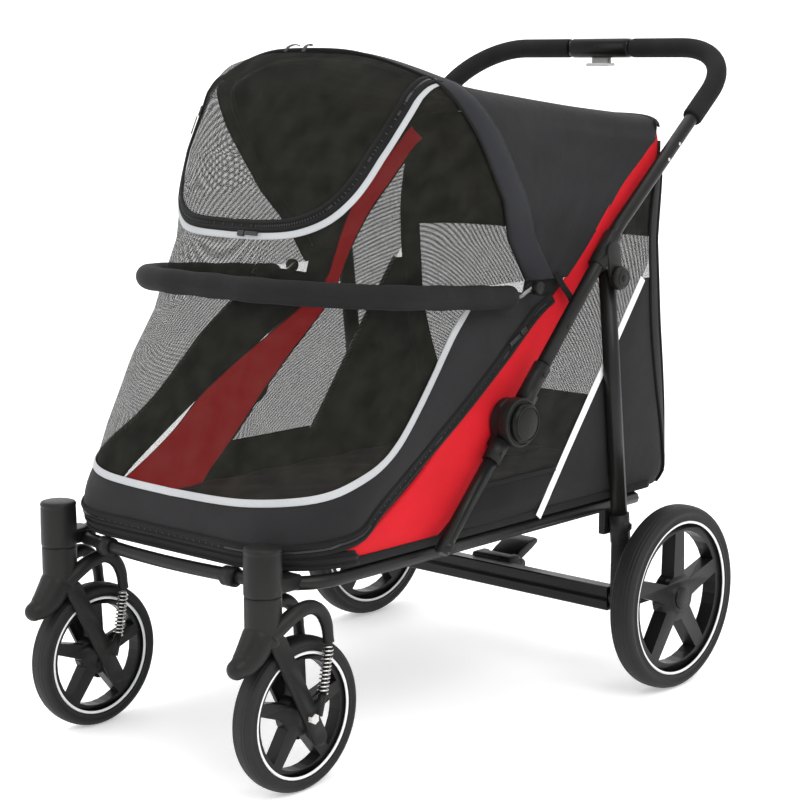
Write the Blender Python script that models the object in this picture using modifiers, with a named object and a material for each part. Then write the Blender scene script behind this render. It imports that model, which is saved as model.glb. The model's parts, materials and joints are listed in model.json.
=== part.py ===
# Pet stroller: a folding tube frame on four wheels with a zipped fabric cabin.
# Metres, +Z up. The origin is on the ground in the middle of the stroller's outline.
# -Y is the front, +Y is the push handle, +X is the stroller's left side.
from math import acos, atan2, cos, pi, radians, sin, sqrt, tan

import bmesh
import bpy
from mathutils import Matrix, Vector

for old in list(bpy.data.objects):
    bpy.data.objects.remove(old, do_unlink=True)

# ---------------------------------------------------------------- driving sizes
GAP = 0.0003                 # between pieces that touch

SIDE_X = 0.272               # plane of the side tubes
TUBE_R = 0.0105              # side tubes and handle tube
BASE_R = 0.010               # bottom tube
BASE_Z = 0.290
BASE_X = 0.243
BASE_FRONT = -0.448
BASE_BOW = 0.014             # the front run bows forward by this much
BASE_REAR = 0.312

FOOT = (-0.192, 0.298)       # (y, z) lower end of the side tube
HUB = (-0.036, 0.462)        # (y, z) fold hinge
BEND = (0.215, 0.727)        # where the side tube turns into the handle
BAR = (0.5395, 0.994)        # handle cross bar
BAR_CORNER = 0.110
FOAM_R = 0.0158
HUB_R = 0.036

LEG_TOP = (0.191, 0.6625)
LEG_LOW = (0.2344, 0.281)
LEG_X = 0.270
LEG_R = 0.013
LEG_PIVOT = (0.235, 0.262)   # where the rear leg turns on the bottom tube
BEAM = (0.2375, 0.143)

REAR_R = 0.145
REAR_X = 0.325
REAR_Y = 0.304
REAR_W = 0.040
FRONT_R = 0.107
FRONT_Y = -0.419
FRONT_W = 0.034
CASTOR_X = 0.210
CASTOR_Y = -0.478
SEAM_Z = 0.282               # joint between the fixed and the turning half
CAP_Z = 0.348
ARM_PIVOT = (-0.470, 0.2175)  # swing arm of the castor
SPRING_TOP = (-0.383, 0.200)
SPRING_LOW = (-0.3955, 0.134)
SPRING_OFF = 0.0275          # spring's distance from the castor's middle
SPRING_R = 0.0074
SPRING_WIRE = 0.0011
SPRING_TURNS = 10

CABIN_FLOOR = 0.3045
CABIN_SPLIT = 0.640          # rim of the tub, foot of hood and canopy
BOW_FOOT = (0.035, 0.640)
BOW_CROWN = (-0.167, 0.989)
ROOF_TOP = 0.991
ROOF_LENGTH = 0.524
CLOTH = 0.004
BUMPER_X = 0.2415
BUMPER_R = 0.018

# ---------------------------------------------------------------- collections
parts = bpy.data.collections.new("pet_stroller")
bpy.context.scene.collection.children.link(parts)
cutters = bpy.data.collections.new("cutters")
bpy.context.scene.collection.children.link(cutters)


def colour(name, rgb, roughness, metallic=0.0):
    """One Principled material."""
    mat = bpy.data.materials.new(name)
    mat.use_nodes = True
    shader = mat.node_tree.nodes["Principled BSDF"]
    shader.inputs["Base Color"].default_value = (*rgb, 1.0)
    shader.inputs["Roughness"].default_value = roughness
    shader.inputs["Metallic"].default_value = metallic
    mat.diffuse_color = (*rgb, 1.0)
    return mat


BLACK_PAINT = colour("satin_black_paint", (0.012, 0.012, 0.013), 0.38)
BLACK_PLASTIC = colour("black_plastic", (0.014, 0.014, 0.015), 0.5)
GLOSS_PLASTIC = colour("gloss_black_plastic", (0.008, 0.008, 0.009), 0.15)
GREY_PLASTIC = colour("light_grey_plastic", (0.55, 0.56, 0.57), 0.45)
TYRE = colour("black_tyre", (0.018, 0.018, 0.018), 0.8)
FOAM = colour("black_foam", (0.012, 0.012, 0.012), 0.9)
BRIGHT = colour("bright_steel", (0.66, 0.66, 0.68), 0.25, 1.0)
CHARCOAL = colour("charcoal_fabric", (0.042, 0.042, 0.046), 0.85)
MESH_CLOTH = colour("mesh_fabric", (0.03, 0.03, 0.032), 0.85)
PAD_CLOTH = colour("pad_fabric", (0.025, 0.025, 0.027), 0.9)


# ---------------------------------------------------------------- helpers
def link(name, mesh, mat, smooth=40.0):
    """Puts a mesh in the scene as a named part."""
    obj = bpy.data.objects.new(name, mesh)
    parts.objects.link(obj)
    mesh.materials.clear()
    mesh.materials.append(mat)
    mesh.shade_smooth()
    mesh.set_sharp_from_angle(angle=radians(smooth))
    return obj


def baked(obj):
    """The evaluated mesh of an object, in world coordinates, its loose caps welded."""
    bpy.context.view_layer.update()
    graph = bpy.context.evaluated_depsgraph_get()
    mesh = bpy.data.meshes.new_from_object(obj.evaluated_get(graph))
    mesh.transform(obj.matrix_world)
    bm = bmesh.new()
    bm.from_mesh(mesh)
    bmesh.ops.remove_doubles(bm, verts=bm.verts, dist=0.00001)
    bmesh.ops.recalc_face_normals(bm, faces=bm.faces)
    bm.to_mesh(mesh)
    bm.free()
    bpy.data.objects.remove(obj, do_unlink=True)
    return mesh


def rounded(points, radius, steps=7):
    """Points of a path whose inner corners are arcs of one radius."""
    pts = [Vector(p) for p in points]
    path = [pts[0]]
    for before, at, after in zip(pts, pts[1:], pts[2:]):
        a = (before - at).normalized()
        b = (after - at).normalized()
        half = acos(max(-1.0, min(1.0, a.dot(b)))) / 2.0
        if half > radians(89.5):
            path.append(at)
            continue
        reach = radius / tan(half)
        middle = (a + b).normalized() * (radius / sin(half)) + at
        start = at + a * reach - middle
        end = at + b * reach - middle
        turn = start.angle(end)
        axis = start.cross(end).normalized()
        for k in range(steps + 1):
            path.append(middle + Matrix.Rotation(turn * k / steps, 3, axis) @ start)
    path.append(pts[-1])
    return path


def tube_mesh(path, radius, sides=12):
    """A round tube along a path, closed at both ends."""
    data = bpy.data.curves.new("tube", "CURVE")
    data.dimensions = "3D"
    data.bevel_depth = radius
    data.bevel_resolution = max(0, sides // 4 - 1)
    data.use_fill_caps = True
    spline = data.splines.new("POLY")
    spline.points.add(len(path) - 1)
    for point, at in zip(spline.points, path):
        point.co = (*at, 1.0)
    obj = bpy.data.objects.new("tube", data)
    parts.objects.link(obj)
    return baked(obj)


def plate_mesh(outlines, x0, x1, round_edge=0.0):
    """A flat plate from outlines in (y, z), standing between x0 and x1."""
    data = bpy.data.curves.new("plate", "CURVE")
    data.dimensions = "2D"
    data.fill_mode = "BOTH"
    data.extrude = abs(x1 - x0) / 2.0 - round_edge
    data.bevel_depth = round_edge
    data.bevel_resolution = 1
    data.offset = -round_edge
    for outline in outlines:
        spline = data.splines.new("POLY")
        spline.points.add(len(outline) - 1)
        for point, (y, z) in zip(spline.points, outline):
            point.co = (y, z, 0.0, 1.0)
        spline.use_cyclic_u = True
    obj = bpy.data.objects.new("plate", data)
    parts.objects.link(obj)
    turn = Matrix(((0, 0, 1, (x0 + x1) / 2.0), (1, 0, 0, 0), (0, 1, 0, 0), (0, 0, 0, 1)))
    obj.matrix_world = turn
    return baked(obj)


def box_mesh(x, y, z, edge=0.0, segments=2):
    """A box from its three ranges, with rounded edges."""
    mesh = bpy.data.meshes.new("box")
    bm = bmesh.new()
    bmesh.ops.create_cube(bm, size=1.0)
    for v in bm.verts:
        v.co.x = (x[0] + x[1]) / 2.0 + v.co.x * (x[1] - x[0])
        v.co.y = (y[0] + y[1]) / 2.0 + v.co.y * (y[1] - y[0])
        v.co.z = (z[0] + z[1]) / 2.0 + v.co.z * (z[1] - z[0])
    if edge:
        bmesh.ops.bevel(bm, geom=bm.edges, offset=edge, segments=segments, affect="EDGES", profile=0.5)
    bm.to_mesh(mesh)
    bm.free()
    return mesh


def turned_mesh(profile, centre, axis="Z", steps=24, closed=False):
    """A turned solid. The profile is (radius, height) from top to bottom."""
    mesh = bpy.data.meshes.new("turned")
    points = [(r, 0.0, h) for r, h in profile]
    edges = [(i, i + 1) for i in range(len(points) - 1)]
    if closed:
        edges.append((len(points) - 1, 0))
    mesh.from_pydata(points, edges, [])
    obj = bpy.data.objects.new("turned", mesh)
    parts.objects.link(obj)
    screw = obj.modifiers.new("turn", "SCREW")
    screw.steps = steps
    screw.render_steps = steps
    screw.use_merge_vertices = True
    screw.merge_threshold = 0.00005
    if axis == "X":
        obj.matrix_world = Matrix.Translation(centre) @ Matrix.Rotation(pi / 2.0, 4, "Y")
    else:
        obj.matrix_world = Matrix.Translation(centre)
    return baked(obj)


def rod_mesh(a, b, radius, sides=16):
    """A plain round bar between two points."""
    a = Vector(a)
    b = Vector(b)
    mesh = bpy.data.meshes.new("rod")
    bm = bmesh.new()
    bmesh.ops.create_cone(bm, cap_ends=True, segments=sides, radius1=radius, radius2=radius, depth=(b - a).length)
    bm.to_mesh(mesh)
    bm.free()
    mesh.transform(Matrix.Translation((a + b) / 2.0) @ (b - a).to_track_quat("Z", "Y").to_matrix().to_4x4())
    return mesh


def combine(base, others, how):
    """Joins or cuts a mesh with others, one after the other."""
    for other in others:
        body = bpy.data.objects.new("body", base)
        parts.objects.link(body)
        tool = bpy.data.objects.new("tool", other)
        cutters.objects.link(tool)
        tool.hide_render = True
        tool.display_type = "WIRE"
        cut = body.modifiers.new("cut", "BOOLEAN")
        cut.operation = how
        cut.solver = "EXACT"
        cut.object = tool
        base = baked(body)
        bpy.data.objects.remove(tool, do_unlink=True)
    return base


def joined(base, *others):
    """One body from several that overlap."""
    return combine(base, others, "UNION")


def cut_by(base, *others):
    """A body less its cutters."""
    return combine(base, others, "DIFFERENCE")


def mirrored(mesh):
    """The same shape on the other side of the stroller."""
    other = mesh.copy()
    other.transform(Matrix.Scale(-1.0, 4, (1, 0, 0)))
    other.flip_normals()
    return other


def circle(y, z, radius, count=24, start=0.0, sweep=2.0 * pi):
    """Points round (y, z)."""
    return [
        (y + radius * cos(start + sweep * k / count), z + radius * sin(start + sweep * k / count))
        for k in range(count)
    ]


def link_outline(a, ra, b, rb, count=9):
    """Outline of a flat link with a round end at each point."""
    (ya, za), (yb, zb) = a, b
    along = atan2(zb - za, yb - ya)
    tilt = acos((ra - rb) / sqrt((yb - ya) ** 2 + (zb - za) ** 2))
    first = [along + tilt + (2.0 * pi - 2.0 * tilt) * k / count for k in range(count + 1)]
    second = [along - tilt + 2.0 * tilt * k / count for k in range(count + 1)]
    ends = [(ya + ra * cos(t), za + ra * sin(t)) for t in first]
    return ends + [(yb + rb * cos(t), zb + rb * sin(t)) for t in second]


SIDES = (("left", 1.0), ("right", -1.0))


def pair(name, mesh, mat, smooth=40.0):
    """A left part and its mirror image on the right."""
    other = mirrored(mesh)
    return [link(name + "_left", mesh, mat, smooth), link(name + "_right", other, mat, smooth)]


def bodies(name, at):
    """An empty on a joint's axis, which carries the pieces that move with it."""
    empty = bpy.data.objects.new(name, None)
    empty.empty_display_size = 0.03
    empty.location = at
    parts.objects.link(empty)
    return empty


def hang(empty, *things):
    """Parents pieces to an empty where they stand."""
    bpy.context.view_layer.update()
    for thing in things:
        thing.parent = empty
        thing.matrix_parent_inverse = empty.matrix_world.inverted()


# ---------------------------------------------------------------- base frame
def base_path():
    """The bottom tube: two side runs and a front run that bows forward."""
    corner = [
        (BASE_X, BASE_REAR, BASE_Z),
        (BASE_X, BASE_FRONT, BASE_Z),
        (0.0, BASE_FRONT, BASE_Z),
    ]
    half = rounded(corner, 0.080, 8)[:-1]
    bow = []
    for k in range(5):
        x = half[-1].x * (1.0 - (k + 1) / 5.0)
        bow.append(Vector((x, BASE_FRONT - BASE_BOW * (1.0 - (x / half[-1].x) ** 2), BASE_Z)))
    half += bow
    return half + [Vector((-p.x, p.y, p.z)) for p in reversed(half[:-1])]


BASE_PATH = base_path()
base_tube = tube_mesh(BASE_PATH, BASE_R)
pivot_lug = box_mesh((0.2415, 0.2536), (0.219, 0.251), (0.2465, 0.287), 0.002)
base_tube = joined(base_tube, pivot_lug, mirrored(pivot_lug))
link("bottom_frame_tube", base_tube, BLACK_PAINT)

cap_profile = [
    (0.0, CAP_Z), (0.0205, CAP_Z), (0.0245, CAP_Z - 0.0012), (0.0260, CAP_Z - 0.0035),
    (0.0260, CAP_Z - 0.0065), (0.0252, CAP_Z - 0.0075), (0.0256, CAP_Z - 0.0095),
    (0.0260, CAP_Z - 0.030), (0.0260, SEAM_Z + 0.004), (0.0250, SEAM_Z), (0.0, SEAM_Z),
]
mount = turned_mesh([(r, h) for r, h in cap_profile], (CASTOR_X, CASTOR_Y, 0.0), steps=20)
arm = box_mesh((CASTOR_X - 0.019, CASTOR_X + 0.019), (-0.470, -0.4235), (0.2838, 0.3038), 0.002, 1)
mount = cut_by(joined(mount, arm), tube_mesh(BASE_PATH, BASE_R + 0.0005))
pair("castor_mount", mount, BLACK_PLASTIC)

clip = rod_mesh((0.1175, -0.4580, BASE_Z), (0.1375, -0.4562, BASE_Z), 0.0138, 16)
clip = cut_by(clip, tube_mesh(BASE_PATH, BASE_R + 0.0005))
pair("front_clip", clip, BLACK_PLASTIC)

# ---------------------------------------------------------------- side tubes and fold hubs
rise = Vector((0.0, BEND[0] - HUB[0], BEND[1] - HUB[1])).normalized()
fall = Vector((0.0, FOOT[0] - HUB[0], FOOT[1] - HUB[1])).normalized()
hub = Vector((SIDE_X, HUB[0], HUB[1]))

side_tube = rod_mesh(hub + fall * 0.0703, (SIDE_X, FOOT[0], FOOT[1]), TUBE_R, 16)
foot_bolt = rod_mesh((0.2780, -0.185, 0.3054), (0.2875, -0.185, 0.3054), 0.0072, 16)
side_tube = joined(side_tube, foot_bolt)
pair("lower_side_tube", side_tube, BLACK_PAINT)


def tongue(direction, near, far, half, x0, x1):
    """A flat bar that runs outward from the hub."""
    side = Vector((0.0, -direction.z, direction.y))
    corners = [
        hub + direction * near + side * half, hub + direction * near - side * half,
        hub + direction * far - side * half, hub + direction * far + side * half,
    ]
    return plate_mesh([[(p.y, p.z) for p in corners]], x0, x1)


inner = plate_mesh([circle(HUB[0], HUB[1], 0.034, 22)], 0.2588, SIDE_X - 0.0003)
inner = joined(
    inner,
    tongue(fall, 0.015, 0.050, 0.0115, 0.2595, SIDE_X - 0.0006),
    rod_mesh(hub + fall * 0.0370, hub + fall * 0.0700, 0.0135, 16),
)
pair("hub_inner", inner, BLACK_PLASTIC)

outer = plate_mesh([circle(HUB[0], HUB[1], HUB_R, 26)], SIDE_X, 0.2915, 0.002)
outer = joined(
    outer,
    tongue(rise, 0.015, 0.052, 0.0115, SIDE_X + 0.0002, 0.2845),
    rod_mesh(hub + rise * 0.0375, hub + rise * 0.1000, 0.0135, 16),
)
outer_parts = pair("hub_outer", outer, BLACK_PLASTIC)

cap = turned_mesh(
    [(0.0, 0.0100), (0.0200, 0.0100), (0.0262, 0.0086), (0.0290, 0.0050), (0.0290, 0.0), (0.0, 0.0)],
    (0.2918, HUB[0], HUB[1]), "X", 28,
)
hub_caps = pair("hub_cap", cap, GLOSS_PLASTIC)

# ---------------------------------------------------------------- handle
slope = Vector((0.0, BAR[0] - BEND[0], BAR[1] - BEND[1])).normalized()
handle_corners = [
    hub + rise * 0.1003,
    Vector((SIDE_X, BEND[0], BEND[1])),
    Vector((SIDE_X, BAR[0], BAR[1])),
    Vector((-SIDE_X, BAR[0], BAR[1])),
    Vector((-SIDE_X, BEND[0], BEND[1])),
    Vector((-SIDE_X, hub.y, hub.z)) + rise * 0.1003,
]
HANDLE_PATH = rounded(handle_corners, BAR_CORNER, 9)
handle_tube = link("handle_tube", tube_mesh(HANDLE_PATH, TUBE_R, 12), BLACK_PAINT)

bar = Vector((0.0, BAR[0], BAR[1]))
grip_corners = [
    bar + Vector((0.0640, 0.0, 0.0)),
    Vector((SIDE_X, BAR[0], BAR[1])),
    Vector((SIDE_X, BAR[0], BAR[1])) - slope * 0.172,
]
foam = tube_mesh(rounded(grip_corners, BAR_CORNER, 9), FOAM_R, 16)
bore = tube_mesh(HANDLE_PATH, TUBE_R + GAP, 12)
foam_parts = pair("foam_grip", cut_by(foam, bore), FOAM)

console = box_mesh((-0.0636, 0.0636), (-0.0165, 0.0165), (-0.0160, 0.0160), 0.010, 2)
console.transform(Matrix.Translation(bar))
slot = box_mesh((-0.0170, 0.0170), (-0.0068, 0.0058), (-0.0200, -0.0060))
slot.transform(Matrix.Translation(bar))
console = cut_by(console, tube_mesh(HANDLE_PATH, TUBE_R + GAP, 12), slot)
console_part = link("handle_console", console, GLOSS_PLASTIC)

trigger = box_mesh((-0.024, 0.024), (-0.0135, 0.006), (-0.0300, -0.0250), 0.002)
stalk = box_mesh((-0.016, 0.016), (-0.006, 0.005), (-0.0275, -0.0150))
trigger = joined(trigger, stalk)
trigger.transform(Matrix.Translation(bar))
trigger_part = link("fold_trigger", trigger, GREY_PLASTIC)

# ---------------------------------------------------------------- rear leg brackets on the side tubes
grasp = 0.318                # distance of the bracket's middle from the hub
sleeve = rod_mesh(hub + rise * (grasp - 0.030), hub + rise * (grasp + 0.030), 0.0140, 16)
lug = plate_mesh(
    [link_outline((HUB[0] + rise.y * grasp, HUB[1] + rise.z * grasp), 0.015, (0.1925, 0.6520), 0.0155)],
    0.2838, 0.2895, 0.001,
)
bracket = cut_by(joined(sleeve, lug), tube_mesh(HANDLE_PATH, TUBE_R + GAP, 12))
brackets = pair("leg_bracket", bracket, BLACK_PLASTIC)
knob = turned_mesh(
    [(0.0, 0.0120), (0.0120, 0.0120), (0.0165, 0.0100), (0.0180, 0.0060), (0.0180, 0.0), (0.0, 0.0)],
    (0.2898, 0.1925, 0.6520), "X", 24,
)
knobs = pair("leg_knob", knob, BLACK_PLASTIC)

# ---------------------------------------------------------------- rear carriage
leg = rod_mesh((LEG_X, *LEG_LOW), (LEG_X, *LEG_TOP), LEG_R, 16)
legs = pair("rear_leg", leg, BLACK_PAINT)

lean = Vector((0.0, LEG_LOW[0] - LEG_TOP[0], LEG_LOW[1] - LEG_TOP[1])).normalized()
leg_foot = Vector((LEG_X, *LEG_LOW))
wheel_bracket = rod_mesh(leg_foot + lean * GAP, leg_foot + lean * 0.046, 0.0160, 16)
post = rod_mesh((LEG_X, 0.2385, 0.246), (LEG_X, 0.2375, 0.128), 0.0142, 16)
arm = plate_mesh([link_outline((0.2385, 0.1450), 0.0145, (REAR_Y, 0.1450), 0.0145)], 0.2590, 0.2860, 0.002)
stub = rod_mesh((0.2800, REAR_Y, 0.1450), (REAR_X - REAR_W / 2.0 - 0.0004, REAR_Y, 0.1450), 0.0080, 16)
bolt = rod_mesh((0.2800, LEG_PIVOT[0], LEG_PIVOT[1]), (0.2895, LEG_PIVOT[0], LEG_PIVOT[1]), 0.0075, 6)
wheel_bracket = joined(wheel_bracket, post, arm, stub, bolt)
wheel_brackets = pair("wheel_bracket", wheel_bracket, BLACK_PLASTIC)

beam_outline = [
    (BEAM[0] - 0.012, BEAM[1] - 0.017), (BEAM[0] - 0.010, BEAM[1] - 0.019), (BEAM[0] + 0.010, BEAM[1] - 0.019),
    (BEAM[0] + 0.012, BEAM[1] - 0.017), (BEAM[0] + 0.012, BEAM[1] - 0.004), (BEAM[0] + 0.009, BEAM[1]),
    (BEAM[0] + 0.012, BEAM[1] + 0.004), (BEAM[0] + 0.012, BEAM[1] + 0.017), (BEAM[0] + 0.010, BEAM[1] + 0.019),
    (BEAM[0] - 0.010, BEAM[1] + 0.019), (BEAM[0] - 0.012, BEAM[1] + 0.017), (BEAM[0] - 0.012, BEAM[1] + 0.004),
    (BEAM[0] - 0.009, BEAM[1]), (BEAM[0] - 0.012, BEAM[1] - 0.004),
]
beam_half = LEG_X - 0.0142 - GAP
beam = link("rear_axle_beam", plate_mesh([beam_outline], -beam_half, beam_half), BLACK_PAINT, 20.0)

block = box_mesh((-0.040, 0.040), (BEAM[0] + 0.0123, 0.2830), (0.120, 0.168), 0.005)
clevis = rod_mesh((-0.040, 0.2830, 0.150), (-0.028, 0.2830, 0.150), 0.0115, 16)
clevis_b = rod_mesh((0.028, 0.2830, 0.150), (0.040, 0.2830, 0.150), 0.0115, 16)
pocket = box_mesh((-0.0275, 0.0275), (0.2730, 0.300), (0.136, 0.175))
brake_block = link("brake_block", cut_by(joined(block, clevis, clevis_b), pocket), BLACK_PLASTIC)

pedal_outline = [
    (0.2762, 0.1460), (0.2800, 0.1415), (0.2880, 0.1420), (0.3040, 0.1560), (0.3300, 0.1680),
    (0.3440, 0.1760), (0.3450, 0.1810), (0.3400, 0.1845), (0.3180, 0.1800), (0.2950, 0.1690),
    (0.2800, 0.1590), (0.2762, 0.1540),
]
pedal = plate_mesh([pedal_outline], -0.0268, 0.0268, 0.002)
brake_pedal = link("brake_pedal", pedal, BLACK_PLASTIC)


# ---------------------------------------------------------------- wheels
def tyre_mesh(x, y, z, radius, width, rim_radius):
    """A round tyre whose inner side is a flat band."""
    half = width / 2.0
    depth = radius - rim_radius
    outline = [
        (rim_radius, -half * 0.72), (rim_radius + depth * 0.50, -half), (radius - depth * 0.20, -half * 0.86),
        (radius, -half * 0.40), (radius, half * 0.40),
        (radius - depth * 0.20, half * 0.86), (rim_radius + depth * 0.50, half), (rim_radius, half * 0.72),
    ]
    return turned_mesh(list(reversed(outline)), (x, y, z), "X", 40, True)


def rim_mesh(x, y, z, radius, half_in, half_out, hub_radius):
    """A disc with five windows, which leave five tapered spokes."""
    outlines = [circle(y, z, radius, 40)]
    inside = radius * 0.86
    for spoke in range(5):
        middle = 2.0 * pi * (spoke + 0.5) / 5.0 + pi / 2.0
        window = []
        for k in range(7):
            reach = (k / 6.0 - 0.5) * (2.0 * pi / 5.0 - 0.23)
            window.append((y + inside * cos(middle + reach), z + inside * sin(middle + reach)))
        for k in range(4):
            reach = (0.5 - k / 3.0) * (2.0 * pi / 5.0 - 0.78)
            window.append((y + hub_radius * 1.45 * cos(middle + reach), z + hub_radius * 1.45 * sin(middle + reach)))
        outlines.append(window)
    return plate_mesh(outlines, x - half_in, x + half_out)


def axle_boss(x0, x1, y, z, radius):
    """The hub's boss."""
    return rod_mesh((x0, y, z), (x1, y, z), radius, 20)


rear_half = REAR_W / 2.0
rear_tyre = tyre_mesh(REAR_X, REAR_Y, REAR_R, REAR_R, REAR_W, 0.1225)
rear_tyres = pair("rear_tyre", rear_tyre, TYRE)
rear_rim = rim_mesh(REAR_X, REAR_Y, REAR_R, 0.1222, 0.012, 0.012, 0.026)
rear_rim = joined(rear_rim, axle_boss(REAR_X - rear_half, REAR_X + rear_half - 0.003, REAR_Y, REAR_R, 0.024))
rear_rims = pair("rear_rim", rear_rim, BLACK_PLASTIC)
rear_cap = turned_mesh(
    [(0.0, 0.0050), (0.0120, 0.0050), (0.0165, 0.0030), (0.0175, 0.0), (0.0, 0.0)],
    (REAR_X + rear_half - 0.0027, REAR_Y, REAR_R), "X", 24,
)
rear_caps = pair("rear_hub_cap", rear_cap, BLACK_PLASTIC)

front_half = FRONT_W / 2.0
front_tyre = tyre_mesh(CASTOR_X, FRONT_Y, FRONT_R, FRONT_R, FRONT_W, 0.0890)
front_tyres = pair("front_tyre", front_tyre, TYRE)
front_rim = rim_mesh(CASTOR_X, FRONT_Y, FRONT_R, 0.0887, 0.010, 0.010, 0.020)
front_rim = joined(
    front_rim, axle_boss(CASTOR_X - front_half + 0.001, CASTOR_X + front_half - 0.001, FRONT_Y, FRONT_R, 0.0165)
)
front_rims = pair("front_rim", front_rim, BLACK_PLASTIC)

# ---------------------------------------------------------------- castors
swivel = turned_mesh(
    [(0.0, SEAM_Z - 0.0004), (0.0245, SEAM_Z - 0.0004), (0.0252, SEAM_Z - 0.003), (0.0250, 0.236),
     (0.0235, 0.2325), (0.0, 0.2325)],
    (CASTOR_X, CASTOR_Y, 0.0), steps=20,
)
toe_outline = [
    (-0.470, 0.262), (-0.500, 0.250), (-0.513, 0.226), (-0.533, 0.207), (-0.550, 0.200), (-0.5560, 0.193),
    (-0.551, 0.184), (-0.536, 0.180), (-0.515, 0.184), (-0.500, 0.194), (-0.492, 0.210), (-0.490, 0.234),
    (-0.470, 0.236),
]
toe = plate_mesh([toe_outline], CASTOR_X - 0.0195, CASTOR_X + 0.0195, 0.006)
swivel = joined(swivel, toe)
for side in (1.0, -1.0):
    arch = [
        (CASTOR_X + side * 0.0165, -0.470, 0.250), (CASTOR_X + side * 0.0215, -0.447, 0.250),
        (CASTOR_X + side * 0.0245, -0.428, 0.256), (CASTOR_X + side * 0.0262, -0.408, 0.254),
        (CASTOR_X + side * 0.0275, -0.392, 0.243), (CASTOR_X + side * 0.0275, -0.384, 0.226),
        (CASTOR_X + side * 0.0275, -0.3825, 0.2045),
    ]
    swivel = joined(swivel, tube_mesh(arch, 0.0074, 8))
swivels = pair("castor_swivel", swivel, BLACK_PLASTIC)

fork = rod_mesh((CASTOR_X - 0.0236, *ARM_PIVOT), (CASTOR_X + 0.0236, *ARM_PIVOT), 0.0080, 16)
tail = (-0.3950, 0.0720)
for side in (1.0, -1.0):
    near = CASTOR_X + side * 0.0180
    far = CASTOR_X + side * 0.0240
    blade = plate_mesh([link_outline(ARM_PIVOT, 0.0130, tail, 0.0120)], min(near, far), max(near, far))
    seat = rod_mesh(
        (CASTOR_X + side * SPRING_OFF, *SPRING_LOW), (CASTOR_X + side * SPRING_OFF, -0.4040, 0.1060), 0.0060, 14,
    )
    plate = plate_mesh(
        [link_outline((-0.4130, 0.1080), 0.0105, (-0.3990, 0.1220), 0.0070)],
        min(far, CASTOR_X + side * 0.0290) - (0.001 if side > 0 else 0.0),
        max(far, CASTOR_X + side * 0.0290) + (0.001 if side < 0 else 0.0),
    )
    fork = joined(fork, blade, plate, seat)
forks = pair("castor_fork", fork, BLACK_PLASTIC)

bolt = rod_mesh((CASTOR_X + 0.0303, FRONT_Y, FRONT_R), (CASTOR_X + 0.0370, FRONT_Y, FRONT_R), 0.0075, 6)
bolts = pair("axle_bolt", bolt, BRIGHT)


def spring_mesh(x):
    """An open coil between its two seats."""
    low = Vector((x, *SPRING_LOW)) + Vector((0.0, 0.013, 0.066)).normalized() * 0.0018
    high = Vector((x, *SPRING_TOP)) + Vector((0.0, 0.0, -0.0005))
    axis = (high - low).normalized()
    u = axis.orthogonal().normalized()
    v = axis.cross(u)
    count = SPRING_TURNS * 6
    path = []
    for k in range(count + 1):
        t = k / count
        angle = 2.0 * pi * SPRING_TURNS * t
        path.append(low + (high - low) * t + (u * cos(angle) + v * sin(angle)) * SPRING_R)
    return tube_mesh(path, SPRING_WIRE, 4)


springs = []
for where, side in (("outer", 1.0), ("inner", -1.0)):
    springs += pair("spring_" + where, spring_mesh(CASTOR_X + side * SPRING_OFF), BRIGHT)

# ---------------------------------------------------------------- bumper bar
BUMPER_END = -0.012


def bumper_z(y):
    """The bar rises a little toward the front."""
    return 0.6455 - 0.082 * (y - BUMPER_END)


bumper_corners = [
    (BUMPER_X, BUMPER_END, 0.0), (BUMPER_X, -0.3700, 0.0), (-BUMPER_X, -0.3700, 0.0), (-BUMPER_X, BUMPER_END, 0.0),
]
bumper_path = [Vector((p.x, p.y, bumper_z(p.y))) for p in rounded(bumper_corners, 0.180, 10)]
bumper_sleeve = link("bumper_sleeve", tube_mesh(bumper_path, BUMPER_R, 16), CHARCOAL)
wire = tube_mesh(
    [(BUMPER_X, BUMPER_END + GAP, 0.6455), (BUMPER_X, 0.012, 0.6440), (0.2440, 0.026, 0.6452), (0.2450, 0.036, 0.6458)],
    0.0035, 12,
)
wires = pair("bumper_wire", wire, BRIGHT)
pivot_piece = turned_mesh(
    [(0.0, 0.0110), (0.0085, 0.0110), (0.0100, 0.0095), (0.0100, 0.0), (0.0, 0.0)],
    (0.2475, 0.0468, 0.6462), "X", 20,
)
pair("bumper_lug", pivot_piece, BLACK_PLASTIC)


# ---------------------------------------------------------------- cabin
def between(table, z):
    """Straight-line value of a table of (z, value)."""
    if z <= table[0][0]:
        return table[0][1]
    for (z0, v0), (z1, v1) in zip(table, table[1:]):
        if z <= z1:
            return v0 + (v1 - v0) * (z - z0) / (z1 - z0)
    return table[-1][1]


FRONT_LINE = [(0.3045, -0.450), (0.337, -0.461), (0.45, -0.424), (0.55, -0.389), (0.65, -0.352), (0.731, -0.325),
              (0.841, -0.285), (0.922, -0.245), (0.968, -0.205), (0.989, -0.167), (1.060, -0.060)]
REAR_LINE = [(0.3045, 0.425), (0.325, 0.443), (0.46, 0.428), (0.706, 0.403), (0.887, 0.357), (1.060, 0.300)]
NOSE_HALF = [(0.3045, 0.247), (0.337, 0.254), (0.45, 0.252), (0.55, 0.240), (0.615, 0.2220),
             (0.718, 0.2220), (0.775, 0.244), (0.850, 0.248), (1.060, 0.248)]
TAIL_HALF = [(0.3045, 0.247), (0.337, 0.254), (1.060, 0.256)]
NOSE_ROUND = [(0.3045, 0.120), (0.337, 0.130), (0.50, 0.150), (0.65, 0.165), (0.775, 0.195), (0.90, 0.200),
              (1.060, 0.180)]
TAIL_ROUND = [(0.3045, 0.095), (0.700, 0.095), (0.800, 0.050), (0.900, 0.035), (1.060, 0.035)]


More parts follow.
